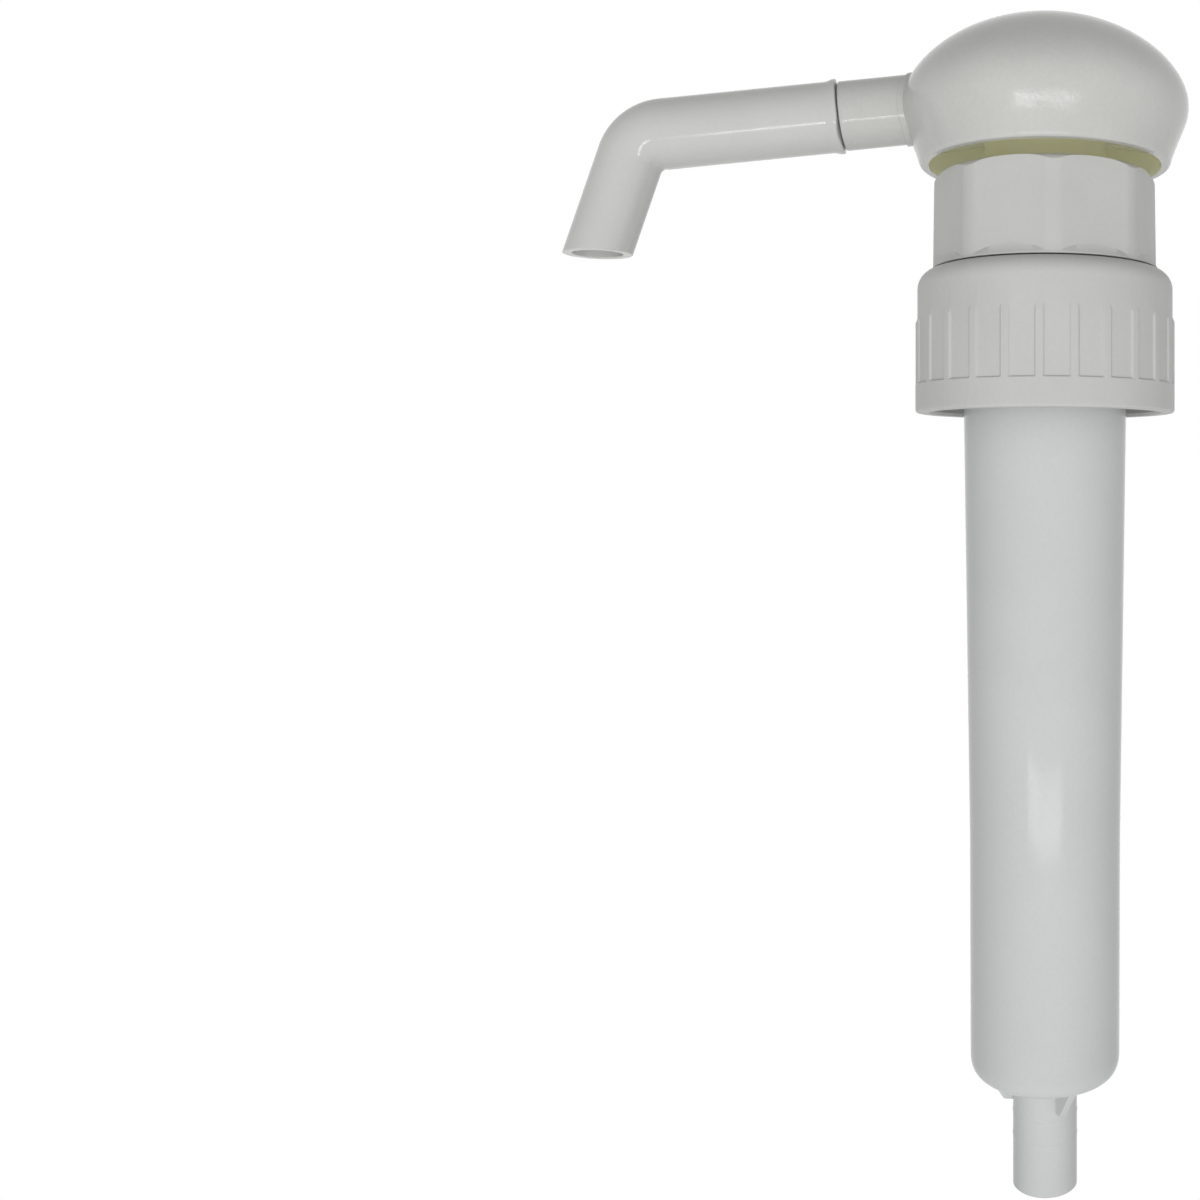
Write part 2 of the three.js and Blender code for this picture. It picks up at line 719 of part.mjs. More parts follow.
// Spout: bent tube with a flared mouth over the stub's nose and an end cut level.
function spout() {
  const lean = THREE.MathUtils.degToRad(spoutLegLeanDeg);
  const corner = armPoint(spoutCornerReach);
  const legDirection = new THREE.Vector3(-Math.sin(lean), 0, -Math.cos(lean));
  const legLength = spoutCornerDrop / Math.cos(lean) + spoutArmR;
  const end = corner.clone().addScaledVector(legDirection, legLength);
  const line = new SpoutLine(armPoint(jointReach), corner, end);
  const beyond = end.clone().addScaledVector(legDirection, cutOver);
  const boreLine = new SpoutLine(armPoint(jointReach - cutOver), corner, beyond);
  const narrowShare = 1 - spoutEndR / spoutArmR;
  const flare = bar(armPoint(jointReach), armPoint(jointReach + spoutFlareLength), spoutFlareR, tubeFacets);
  const endZ = corner.z - spoutCornerDrop;
  const half = new THREE.Vector3(spoutCornerReach, spoutCornerReach, 0);
  const low = new THREE.Vector3(-spoutCornerReach, 0, endZ - legLength).sub(half);
  const high = new THREE.Vector3(-spoutCornerReach, 0, endZ).add(half);
  return spoutBar(line, spoutArmR, narrowShare)
    .add(flare)
    .subtract(spoutBar(boreLine, spoutBoreR, narrowShare))
    .subtract(block(low, high));
}

// Piston carrier: land above the seal and hub inside it.
function piston() {
  const landFootZ = pistonTopZ - pistonLandThick;
  return turned(
    [
      [stemSleeveR, pistonEndZ],
      [pistonHubR, pistonEndZ],
      [pistonHubR, landFootZ],
      [pistonR, landFootZ],
      [pistonR, pistonTopZ],
      [stemSleeveR, pistonTopZ],
      [stemSleeveR, pistonEndZ],
    ],
    innerFacets,
  );
}

// Cup seal with a wiping lip at each end: shares of its width and of its height.
const sealShares = [
  [0, 0],
  [0.4, 0],
  [0.55, 0.3],
  [0.78, 0.03],
  [1, 0.06],
  [0.76, 0.4],
  [0.76, 0.6],
  [1, 0.94],
  [0.78, 0.97],
  [0.55, 0.7],
  [0.4, 1],
  [0, 1],
  [0, 0],
];

function pistonSeal() {
  const innerR = pistonHubR + pressGap;
  const width = boreR - sealLipGap - innerR;
  const footZ = pistonEndZ + pressGap;
  const height = pistonHubLength - 2 * pressGap;
  const profile = sealShares.map(([across, up]) => [innerR + across * width, footZ + up * height]);
  return turned(profile, innerFacets);
}

// Nut on the stem's end: land below the seal, and the cone that the discharge ball closes.
function pistonNut() {
  const landFootZ = nutTopZ - nutLandThick;
  return turned(
    [
      [nutBoreR, nutEndZ],
      [nutHubR, nutEndZ],
      [nutHubR, landFootZ],
      [pistonR, landFootZ],
      [pistonR, nutTopZ],
      [stemSleeveR, nutTopZ],
      [stemSleeveR, dischargeSeatZ],
      [nutSeatR, dischargeSeatZ],
      [nutBoreR, dischargeSeatZ - nutSeatDepth],
      [nutBoreR, nutEndZ],
    ],
    innerFacets,
  );
}

const dischargeBallZ = ballRestZ(dischargeBallR, nutSeatR, nutBoreR, dischargeSeatZ, nutSeatDepth);

// Insert in the stem's chamber: a ring with two crossed bars above the ball.
function dischargeCage() {
  const outerR = stemChamberR - pressGap;
  const barFootZ = dischargeBallZ + dischargeBallR + dischargeLift + slideGap;
  const barTopZ = barFootZ + dischargeBarThick;
  const halfBar = dischargeBarWidth / 2;
  const low = new THREE.Vector3(-outerR, -halfBar, barFootZ);
  const high = new THREE.Vector3(outerR, halfBar, barTopZ);
  const bars = block(low, high).add(block(low, high, Math.PI / 2));
  const within = disc(outerR, barFootZ, barTopZ, tubeFacets);
  return ring(outerR - dischargeCageWall, outerR, stemEndZ, barTopZ, tubeFacets).add(bars.intersect(within));
}

// Slip ring on top of the spring, with a pilot inside the first turns.
function springCap() {
  const pilotZ = springCapFootZ - springPilotLength;
  const innerR = springPilotR - springPilotWall;
  return turned(
    [
      [innerR, pilotZ],
      [springPilotR, pilotZ],
      [springPilotR, springCapFootZ],
      [springCapR, springCapFootZ],
      [springCapR, springCapTopZ],
      [innerR, springCapTopZ],
      [innerR, pilotZ],
    ],
    innerFacets,
  );
}

// Helix between the cage's flange and the slip ring, closed up to a small pitch at both ends.
class SpringLine extends THREE.Curve {
  constructor(lowZ, highZ) {
    super();
    this.lowZ = lowZ;
    this.highZ = highZ;
    this.pitch = (highZ - lowZ - 2 * springEndPitch) / (springTurns - 2);
  }

  getPoint(t) {
    const turns = t * springTurns;
    const closed = Math.min(turns, 1) + Math.max(turns - springTurns + 1, 0);
    const height = this.lowZ + closed * springEndPitch + (turns - closed) * this.pitch;
    const angle = 2 * Math.PI * turns;
    return new THREE.Vector3(springMeanR * Math.cos(angle), springMeanR * Math.sin(angle), height);
  }

  getPointAt(u) {
    return this.getPoint(u);
  }
}

function returnSpring() {
  const lowZ = cageFlangeTopZ + seatGap + springWireR;
  const highZ = springCapFootZ - seatGap - springWireR;
  const line = new SpringLine(lowZ, highZ);
  const steps = springTurns * springSteps;
  const settings = { steps, extrudePath: line, bevelEnabled: false };
  const points = line.getPoints(steps);
  let leastGap = Infinity;
  for (let i = 0; i < points.length; i += 1) {
    for (let j = i + springSteps - 1; j < points.length; j += 1) {
      leastGap = Math.min(leastGap, points[i].distanceTo(points[j]) - 2 * springWireR);
    }
  }
  console.log("least gap between the spring's turns, mm:", leastGap.toFixed(2));
  return solidOf(new THREE.ExtrudeGeometry(roundSection(springWireR, springSides), settings));
}

const suctionBallZ = ballRestZ(suctionBallR, suctionSeatR, spigotBoreR, floorZ, suctionSeatDepth);

// Cage over the suction ball: flange under the spring, four windows and a roof that stops the ball.
function ballCage() {
  const roofZ = suctionBallZ + suctionBallR + suctionLift + slideGap;
  const topZ = roofZ + cageRoofThick;
  const body = turned(
    [
      [cageInnerR, cageFootZ],
      [cageFlangeR, cageFootZ],
      [cageFlangeR, cageFlangeTopZ],
      [cageR, cageFlangeTopZ],
      [cageR, topZ],
      [0, topZ],
      [0, roofZ],
      [cageInnerR, roofZ],
      [cageInnerR, cageFootZ],
    ],
    innerFacets,
  );
  const halfWindow = cageWindowWidth / 2;
  const low = new THREE.Vector3(-cageR - cutOver, -halfWindow, cageFlangeTopZ + cageWindowPost);
  const high = new THREE.Vector3(cageR + cutOver, halfWindow, roofZ - cageWindowPost);
  return body.subtract(block(low, high)).subtract(block(low, high, Math.PI / 2));
}

function ball(radius, centreZ) {
  const sphere = new THREE.SphereGeometry(radius, ballSegments, ballRings);
  return solidOf(sphere.rotateX(Math.PI / 2).translate(0, 0, centreZ));
}

// Finishes: moulded white polypropylene, unpigmented plastic, rubber and stainless steel
const finishes = {
  glossWhite: { color: 0xd4d5d1, roughness: 0.32, metalness: 0 },
  mattWhite: { color: 0xcdcfcb, roughness: 0.5, metalness: 0 },
  natural: { color: 0xb9b48c, roughness: 0.45, metalness: 0 },
  innerWhite: { color: 0xdedfdb, roughness: 0.45, metalness: 0 },
  softSeal: { color: 0xc9ccc4, roughness: 0.6, metalness: 0 },
  rubber: { color: 0x3c3d3c, roughness: 0.75, metalness: 0 },
  steel: { color: 0xc8cacc, roughness: 0.25, metalness: 1 },
};

function piece(name, solid, finish) {
  const mesh = new THREE.Mesh(geometryOf(solid), new THREE.MeshStandardMaterial(finishes[finish]));
  mesh.name = name;
  return mesh;
}

const pump = new THREE.Group();
const housing = new THREE.Group();
const plunger = new THREE.Group();
housing.add(
  piece("barrel", barrel(), "glossWhite"),
  piece("neck_gasket", neckGasket(), "rubber"),
  piece("collar", collar(), "mattWhite"),
  piece("stem_guide", stemGuide(), "innerWhite"),
  piece("guide_seal", guideSeal(), "rubber"),
  piece("wiper_ring", wiperRing(), "softSeal"),
  piece("ball_cage", ballCage(), "innerWhite"),
  piece("return_spring", returnSpring(), "steel"),
);
plunger.add(
  piece("head", head(), "glossWhite"),
  piece("lock_screw", lockScrew(), "natural"),
  piece("spout", spout(), "glossWhite"),
  piece("stem", stem(), "innerWhite"),
  piece("piston", piston(), "innerWhite"),
  piece("piston_seal", pistonSeal(), "softSeal"),
  piece("piston_nut", pistonNut(), "innerWhite"),
  piece("discharge_cage", dischargeCage(), "innerWhite"),
);
pump.add(
  housing,
  plunger,
  piece("screw_cap", screwCap(), "mattWhite"),
  piece("spring_cap", springCap(), "innerWhite"),
  piece("suction_ball", ball(suctionBallR, suctionBallZ), "steel"),
  piece("discharge_ball", ball(dischargeBallR, dischargeBallZ), "steel"),
);

export default pump;
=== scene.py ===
import math

import bmesh
import bpy
from mathutils import Matrix, Quaternion, Vector
from mathutils.geometry import interpolate_bezier


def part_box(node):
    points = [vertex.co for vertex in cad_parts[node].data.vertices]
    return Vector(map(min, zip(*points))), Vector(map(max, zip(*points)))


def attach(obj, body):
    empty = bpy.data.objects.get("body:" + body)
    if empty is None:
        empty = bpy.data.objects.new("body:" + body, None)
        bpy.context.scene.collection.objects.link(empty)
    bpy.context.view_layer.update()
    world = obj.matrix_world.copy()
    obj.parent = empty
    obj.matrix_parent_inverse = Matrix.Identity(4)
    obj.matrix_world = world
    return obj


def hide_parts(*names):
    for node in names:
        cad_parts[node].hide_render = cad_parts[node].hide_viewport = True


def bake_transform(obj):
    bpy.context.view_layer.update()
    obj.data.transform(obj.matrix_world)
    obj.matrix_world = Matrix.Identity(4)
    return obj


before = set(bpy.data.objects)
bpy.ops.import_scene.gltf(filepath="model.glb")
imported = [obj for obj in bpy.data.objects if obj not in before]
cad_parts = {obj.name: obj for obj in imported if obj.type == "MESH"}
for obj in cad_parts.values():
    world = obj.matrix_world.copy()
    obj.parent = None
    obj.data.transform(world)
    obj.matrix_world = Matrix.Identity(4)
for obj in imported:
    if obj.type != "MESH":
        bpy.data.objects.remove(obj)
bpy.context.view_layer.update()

# Camera: looks level at the pump from the front, from the distance that its perspective gives.
# The column of the pump's axis and the row of the camera's level are read in the photograph.
FRAME_SIDE_PX = 1200
AXIS_COLUMN_PX = 1045
LEVEL_ROW_PX = 475
FOCAL_LENGTH_PX = 1300
SENSOR_WIDTH_MM = 36
CAMERA_DISTANCE = 0.260
CAMERA_HEIGHT = -0.0344
NEAR_CLIP = 0.01
camera = bpy.data.objects.new("camera", bpy.data.cameras.new("camera"))
bpy.context.scene.collection.objects.link(camera)
camera.data.sensor_width = SENSOR_WIDTH_MM
camera.data.lens = SENSOR_WIDTH_MM * FOCAL_LENGTH_PX / FRAME_SIDE_PX
camera.data.shift_x = (FRAME_SIDE_PX / 2 - AXIS_COLUMN_PX) / FRAME_SIDE_PX
camera.data.shift_y = (LEVEL_ROW_PX - FRAME_SIDE_PX / 2) / FRAME_SIDE_PX
camera.data.clip_start = NEAR_CLIP
camera.location = (0, -CAMERA_DISTANCE, CAMERA_HEIGHT)
camera.rotation_euler = (math.radians(90), 0, 0)
bpy.context.scene.camera = camera
bpy.context.scene.view_settings.view_transform = "Standard"


# Room: a white tent round the pump, brightest in front and below, weaker overhead and behind.
# The camera and mirror-like reflections see it as plain white.
def place(tree, kind, values=None, **options):
    """Adds a shader node, sets its options, and fills its inputs or links them to other nodes."""
    node = tree.nodes.new("ShaderNode" + kind)
    for option, value in options.items():
        setattr(node, option, value)
    for socket, value in (values or {}).items():
        if isinstance(value, bpy.types.NodeSocket):
            tree.links.new(value, node.inputs[socket])
        else:
            node.inputs[socket].default_value = value
    return node


TENT_LEVEL, TENT_LEAST = 0.345, 0.16
TENT_SLOPE = (0, -0.63, -0.50)
tent = bpy.data.worlds.new("tent")
tent.use_nodes = True
sky = tent.node_tree
sky.nodes.clear()
rays = place(sky, "LightPath")
direction = place(sky, "TexCoord").outputs["Generated"]
leaning = place(sky, "VectorMath", {0: direction, 1: TENT_SLOPE}, operation="DOT_PRODUCT")
tent_sum = place(sky, "Math", {0: leaning.outputs["Value"], 1: TENT_LEVEL}, operation="ADD")
tent_level = place(sky, "Math", {0: tent_sum.outputs[0], 1: TENT_LEAST}, operation="MAXIMUM")
mirrored = place(sky, "Math", {
    0: rays.outputs["Is Glossy Ray"], 1: rays.outputs["Is Transmission Ray"]}, operation="MAXIMUM")
looked_at = place(sky, "Math", {0: mirrored.outputs[0], 1: rays.outputs["Is Camera Ray"]},
                  operation="MAXIMUM")
strength = place(sky, "Mix", {"Factor": looked_at.outputs[0], "A": tent_level.outputs[0], "B": 1})
tent_light = place(sky, "Background", {"Color": (1, 1, 1, 1), "Strength": strength.outputs["Result"]})
place(sky, "OutputWorld", {"Surface": tent_light.outputs[0]})
bpy.context.scene.world = tent

# Lamp: one low strip in front, which draws the highlights on barrel and dome.
# The camera doesn't see it.
STRIP_WIDTH, STRIP_HEIGHT, STRIP_POWER, STRIP_ROLL_DEG = 0.38, 0.036, 0.5, -1.3
STRIP_PLACE, STRIP_AIM = Vector((0, -0.41, -0.214)), Vector((0, 0, -0.06))
strip = bpy.data.objects.new("low_strip", bpy.data.lights.new("low_strip", "AREA"))
bpy.context.scene.collection.objects.link(strip)
strip.data.shape = "RECTANGLE"
strip.data.size, strip.data.size_y = STRIP_WIDTH, STRIP_HEIGHT
strip.data.energy = STRIP_POWER
strip.location = STRIP_PLACE
strip_roll = Quaternion((0, 0, 1), math.radians(STRIP_ROLL_DEG))
strip.rotation_euler = ((STRIP_AIM - STRIP_PLACE).to_track_quat("-Z", "Y") @ strip_roll).to_euler()
strip.visible_camera = False

# Floor: a pale sheet well below the pump, which fades into the white of the tent.
# It takes the pump's shadow and shows no edge.
FLOOR_Z, FLOOR_SIZE, PAPER_TONE = -0.42, 0.6, 0.86
FADE_START_R, FADE_END_R, FADE_START_SHARE = 0.05, 0.29, 0.55
bm = bmesh.new()
bmesh.ops.create_grid(bm, x_segments=1, y_segments=1, size=FLOOR_SIZE / 2,
                      matrix=Matrix.Translation((0, 0, FLOOR_Z)))
floor = bpy.data.objects.new("floor", bpy.data.meshes.new("floor"))
bm.to_mesh(floor.data)
bpy.context.scene.collection.objects.link(floor)


def new_material(name):
    """Makes an empty node material. Returns it with its tree."""
    material = bpy.data.materials.new(name)
    material.use_nodes = True
    material.node_tree.nodes.clear()
    return material, material.node_tree


paper, sheet = new_material("paper")
paper_rays = place(sheet, "LightPath")
paper_seen = place(sheet, "Math", {
    0: paper_rays.outputs["Is Camera Ray"], 1: paper_rays.outputs["Is Glossy Ray"]}, operation="MAXIMUM")
paper_spot = place(sheet, "TexCoord").outputs["Object"]
paper_reach = place(sheet, "VectorMath", {0: paper_spot, 1: (1, 1, 0)}, operation="MULTIPLY")
paper_radius = place(sheet, "VectorMath", {0: paper_reach.outputs[0]}, operation="LENGTH")
paper_fade = place(sheet, "MapRange", {
    "Value": paper_radius.outputs["Value"], "From Min": FADE_START_R, "From Max": FADE_END_R,
    "To Min": FADE_START_SHARE, "To Max": 1}, interpolation_type="SMOOTHSTEP")
paper_glow = place(sheet, "Math", {
    0: paper_fade.outputs["Result"], 1: paper_seen.outputs[0]}, operation="MULTIPLY")
paper_diffuse = place(sheet, "BsdfDiffuse", {"Color": (PAPER_TONE, PAPER_TONE, PAPER_TONE, 1)})
paper_white = place(sheet, "Emission", {"Color": (1, 1, 1, 1), "Strength": 1})
paper_mix = place(sheet, "MixShader", {
    0: paper_glow.outputs[0], 1: paper_diffuse.outputs[0], 2: paper_white.outputs[0]})
place(sheet, "OutputMaterial", {"Surface": paper_mix.outputs[0]})
floor.data.materials.append(paper)


# Barrel: the pump's long cylinder with its mouth, neck flange, rounded bottom and suction spigot.
# One injection moulding of glossy white polypropylene, with three webs between bottom and spigot.
def new_group(name, inputs, outputs):
    """Starts a node group from the kinds and values of its sockets. Returns its tree and what it is given."""
    tree = bpy.data.node_groups.new(name, "ShaderNodeTree")
    for socket, (kind, value) in inputs.items():
        made = tree.interface.new_socket(socket, in_out="INPUT", socket_type="NodeSocket" + kind)
        made.default_value = value
    for socket, kind in outputs.items():
        tree.interface.new_socket(socket, in_out="OUTPUT", socket_type="NodeSocket" + kind)
    return tree, tree.nodes.new("NodeGroupInput").outputs


def mould_tone_group():
    """Slow and fine tone changes over a moulded surface, with a few embedded specks."""
    tree, given = new_group("mould_tone", {
        "Colour": ("Color", (0.8, 0.8, 0.8, 1)), "Shade": ("Color", (0.7, 0.7, 0.7, 1)),
        "Speck Colour": ("Color", (0.3, 0.3, 0.28, 1)), "Patches": ("Float", 35.0),
        "Speck Share": ("Float", 0.1)}, {"Colour": "Color"})
    spot = place(tree, "TexCoord").outputs["Object"]
    slow = place(tree, "TexNoise", {"Vector": spot, "Scale": given["Patches"], "Detail": 4, "Roughness": 0.6})
    fine = place(tree, "TexNoise", {"Vector": spot, "Scale": 1400, "Detail": 2})
    both = place(tree, "Math", {0: fine.outputs["Fac"], 1: 0.5, 2: slow.outputs["Fac"]},
                 operation="MULTIPLY_ADD")
    share = place(tree, "MapRange", {"Value": both.outputs[0], "From Min": 0.5, "From Max": 1.0})
    toned = place(tree, "Mix", {"Factor": share.outputs["Result"], "A": given["Colour"], "B": given["Shade"]},
                  data_type="RGBA")
    cells = place(tree, "TexVoronoi", {"Vector": spot, "Scale": 260})
    chosen = place(tree, "Math", {0: cells.outputs["Color"], 1: given["Speck Share"]}, operation="LESS_THAN")
    round_speck = place(tree, "MapRange", {
        "Value": cells.outputs["Distance"], "From Min": 0.03, "From Max": 0.07, "To Min": 1, "To Max": 0})
    speck = place(tree, "Math", {0: chosen.outputs[0], 1: round_speck.outputs["Result"]},
                  operation="MULTIPLY")
    result = place(tree, "Mix", {"Factor": speck.outputs[0], "A": toned.outputs["Result"],
                                 "B": given["Speck Colour"]}, data_type="RGBA")
    tree.links.new(result.outputs["Result"], tree.nodes.new("NodeGroupOutput").inputs["Colour"])
    return tree


def handling_group():
    """Dull rubbed patches and short fine scratches from use and transport."""
    tree, given = new_group("handling_marks", {"Roughness": ("Float", 0.3), "Wear": ("Float", 0.3)},
                            {"Roughness": "Float", "Height": "Float"})
    spot = place(tree, "TexCoord").outputs["Object"]
    rubbed = place(tree, "TexNoise", {"Vector": spot, "Scale": 90, "Detail": 4, "Distortion": 0.4})
    patch = place(tree, "MapRange", {"Value": rubbed.outputs["Fac"], "From Min": 0.45, "From Max": 0.85})
    swirl = place(tree, "TexNoise", {"Vector": spot, "Scale": 60, "Detail": 1})
    swayed = place(tree, "VectorMath", {0: swirl.outputs["Color"], 1: (0.01, 0.01, 0.01), 2: spot},
                   operation="MULTIPLY_ADD")
    lines = place(tree, "TexWave", {"Vector": swayed.outputs[0], "Scale": 90, "Distortion": 6, "Detail": 3,
                                    "Detail Scale": 4})
    thin = place(tree, "MapRange", {"Value": lines.outputs["Fac"], "From Min": 0.985, "From Max": 1})
    scratch = place(tree, "Math", {0: thin.outputs["Result"], 1: patch.outputs["Result"]},
                    operation="MULTIPLY")
    more = place(tree, "Math", {0: patch.outputs["Result"], 1: given["Wear"]}, operation="MULTIPLY")
    rough = place(tree, "Math", {0: more.outputs[0], 1: given["Roughness"]}, operation="ADD", use_clamp=True)
    lowered = place(tree, "Math", {0: scratch.outputs[0], 1: -1}, operation="MULTIPLY")
    out = tree.nodes.new("NodeGroupOutput")
    tree.links.new(rough.outputs[0], out.inputs["Roughness"])
    tree.links.new(lowered.outputs[0], out.inputs["Height"])
    return tree


def draw_grain_group():
    """Fine grain, drawn out along one direction as the mould's polish and the ejection leave it."""
    tree, given = new_group("draw_grain", {"Stretch": ("Vector", (1, 1, 1)), "Fineness": ("Float", 420.0)},
                            {"Height": "Float"})
    spot = place(tree, "TexCoord").outputs["Object"]
    drawn = place(tree, "Mapping", {"Vector": spot, "Scale": given["Stretch"]})
    broad = place(tree, "TexNoise", {"Vector": drawn.outputs[0], "Scale": given["Fineness"], "Detail": 3,
                                     "Roughness": 0.6})
    tree.links.new(broad.outputs["Fac"], tree.nodes.new("NodeGroupOutput").inputs["Height"])
    return tree


def group_node(tree, group, values):
    """Adds a group to a material's tree and sets its inputs."""
    node = tree.nodes.new("ShaderNodeGroup")
    node.node_tree = group
    for socket, value in values.items():
        node.inputs[socket].default_value = value
    return node


MOULD_TONE = mould_tone_group()
HANDLING = handling_group()
DRAW_GRAIN = draw_grain_group()
SCRATCH_DEPTH, SCRATCH_STRENGTH, PLASTIC_IOR = 0.00002, 0.25, 1.49
MILKY_REACH, MILKY_SHARES = 0.01, (1, 1, 0.6)


def moulded(name, colour, shade, roughness, wear, stretch, grain_depth, fineness=420.0, patches=35.0,
            specks=0.08, sheen=0.2, milkiness=0.0, painted_glow=0.0):
    """Moulded plastic with tone, specks, grain and marks. Glow is painted light: an emission that stands for
    light seeping through a thin wall.
    """
    material, tree = new_material(name)
    tone = group_node(tree, MOULD_TONE, {"Colour": (*colour, 1), "Shade": (*shade, 1), "Patches": patches,
                                         "Speck Share": specks})
    marks = group_node(tree, HANDLING, {"Roughness": roughness, "Wear": wear})
    grain = group_node(tree, DRAW_GRAIN, {"Stretch": stretch, "Fineness": fineness})
    scratched = place(tree, "Bump", {"Height": marks.outputs["Height"], "Distance": SCRATCH_DEPTH,
                                     "Strength": SCRATCH_STRENGTH})
    bumped = place(tree, "Bump", {"Height": grain.outputs["Height"], "Distance": grain_depth, "Strength": 1,
                                  "Normal": scratched.outputs[0]})
    # The emission is painted light, a faint glow for light that passes through a thin wall.
    shader = place(tree, "BsdfPrincipled", {
        "Base Color": tone.outputs["Colour"], "Roughness": marks.outputs["Roughness"],
        "Normal": bumped.outputs[0], "IOR": PLASTIC_IOR, "Specular IOR Level": sheen,
        "Subsurface Weight": milkiness, "Subsurface Radius": MILKY_SHARES, "Subsurface Scale": MILKY_REACH,
        "Emission Color": (*shade, 1), "Emission Strength": painted_glow})
    place(tree, "OutputMaterial", {"Surface": shader.outputs[0]})
    return material


MERGE_DISTANCE = 2e-6
SHARP_EDGE_DEG = 35
EDGE_ROUNDING, FINE_ROUNDING, LIP_ROUNDING = 0.0002, 0.00015, 0.0001


def turned(outline, steps, phase_deg=0.0):
    """Turns (radius, height) points a full circle round the axis, and closes those that start beside it.

    Solids that are combined start at angles of their own, so that they share no corners.
    """
    bm = bmesh.new()
    outline = outline + outline[:1] if outline[0][0] else outline
    across, aside = math.cos(math.radians(phase_deg)), math.sin(math.radians(phase_deg))
    rail = [bm.verts.new((radius * across, radius * aside, height)) for radius, height in outline]
    edges = [bm.edges.new((rail[k], rail[k + 1])) for k in range(len(rail) - 1)
             if outline[k][0] + outline[k + 1][0] > MERGE_DISTANCE]
    bmesh.ops.spin(bm, geom=rail + edges, axis=(0, 0, 1), cent=(0, 0, 0), steps=steps,
                   angle=2 * math.pi, use_merge=True)
    bmesh.ops.remove_doubles(bm, verts=bm.verts, dist=MERGE_DISTANCE)
    bmesh.ops.recalc_face_normals(bm, faces=bm.faces)
    return bm


def arc(centre, radius, start, end, steps):
    """Points on a round stretch of an outline, between two angles in degrees."""
    angles = [math.radians(start + (end - start) * k / steps) for k in range(steps + 1)]
    return [(centre[0] + radius * math.cos(a), centre[1] + radius * math.sin(a)) for a in angles]


def bent(start, bend, end, steps):
    """Points on a curve that leaves its start, and reaches its end, in line with the point of the bend."""
    curve = interpolate_bezier(start, start.lerp(bend, 2 / 3), end.lerp(bend, 2 / 3), end, steps)
    return [tuple(p) for p in curve]


def smoothed(mesh):
    """Shades a mesh smooth, but for its sharp edges."""
    mesh.shade_smooth()
    mesh.set_sharp_from_angle(angle=math.radians(SHARP_EDGE_DEG))


def piece(name, bm, material):
    """Makes a finished mesh an object of one material."""
    mesh = bpy.data.meshes.new(name)
    bm.to_mesh(mesh)
    bm.free()
    smoothed(mesh)
    mesh.materials.append(material)
    made = bpy.data.objects.new(name, mesh)
    bpy.context.scene.collection.objects.link(made)
    return made


def ease_edges(made, width, segments=2):
    """Rounds the sharp edges of a moulding by a small radius."""
    rounding = made.modifiers.new("rounding", "BEVEL")
    rounding.width = width
    rounding.segments = segments
    rounding.limit_method = "ANGLE"
    rounding.angle_limit = math.radians(SHARP_EDGE_DEG)


def even_shading(made):
    """Lets broad faces keep their own shading beside narrow rounded edges."""
    evened = made.modifiers.new("evened", "WEIGHTED_NORMAL")
    evened.keep_sharp = True


def combine(made, tool, operation, rounding=0, segments=3):
    """Joins a second solid to a piece, cuts it away or keeps what both share, once its edges are rounded."""
    if isinstance(tool, bmesh.types.BMesh):
        tool = piece("tool", tool, made.data.materials[0])
    if rounding:
        ease_edges(tool, rounding, segments)
    cut = made.modifiers.new("cut", "BOOLEAN")
    cut.operation = operation
    cut.solver = "EXACT"
    cut.object = tool
    bpy.context.view_layer.update()
    result = bpy.data.meshes.new_from_object(made.evaluated_get(bpy.context.evaluated_depsgraph_get()))
    bm = bmesh.new()
    bm.from_mesh(result)
    bmesh.ops.remove_doubles(bm, verts=bm.verts, dist=MERGE_DISTANCE)
    bm.to_mesh(result)
    bm.free()
    made.modifiers.clear()
    made.data = result
    smoothed(made.data)
    bpy.data.objects.remove(tool)


def plate(corners, thickness, turn):
    """A flat web cut to corners of (distance from the axis, height), standing on a radius."""
    bm = bmesh.new()
    face = bm.faces.new([bm.verts.new((across, -thickness / 2, height)) for across, height in corners])
    grown = bmesh.ops.extrude_face_region(bm, geom=[face])["geom"]
    raised = [v for v in grown if isinstance(v, bmesh.types.BMVert)]
    bmesh.ops.translate(bm, verts=raised, vec=(0, thickness, 0))
    bmesh.ops.rotate(bm, verts=bm.verts, cent=(0, 0, 0), matrix=Matrix.Rotation(turn, 3, "Z"))
    bmesh.ops.recalc_face_normals(bm, faces=bm.faces)
    return bm


def rod(start, end, radius, segments=64):
    """A round bar between two points."""
    bm = bmesh.new()
    along = Vector(end) - Vector(start)
    middle = (Vector(start) + Vector(end)) / 2
    stand = Matrix.Translation(middle) @ along.to_track_quat("Z", "Y").to_matrix().to_4x4()
    bmesh.ops.create_cone(bm, cap_ends=True, segments=segments, radius1=radius, radius2=radius,
                          depth=along.length, matrix=stand)
    return bm


barrel_low, barrel_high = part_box("barrel")
BORE_R = 0.0136
BARREL_TOP_R, BARREL_MID_R, BARREL_END_R = 0.01655, 0.015, 0.01487
BARREL_MID_Z, BARREL_STRAIGHT_Z, BARREL_BOTTOM_Z = -0.106, -0.1491, -0.1549
BARREL_CONE_RISE, BARREL_BEND_RISE, BARREL_ROUND_WIDTH = 0.0019, 0.00157, 0.00314
FLANGE_FOOT_Z, FLANGE_TOP_Z = 0.002, 0.0039
MOUTH_R = 0.0166
BARREL_FLOOR_Z, FLOOR_CHAMFER = -0.152, 0.002
SUCTION_SEAT_R, SUCTION_SEAT_DEPTH = 0.0066, 0.0026
SPIGOT_R, SPIGOT_BORE_R, SPIGOT_EDGE = 0.0064, 0.0043, 0.0002
SPIGOT_BEADS_Z, SPIGOT_BEAD_HEIGHT, SPIGOT_BEAD_SLOPE = (-0.1654, -0.1609), 0.00008, 0.0006
VENT_R, VENT_Z = 0.00125, -0.008
BARREL_STEPS, BEND_STEPS = 128, 14
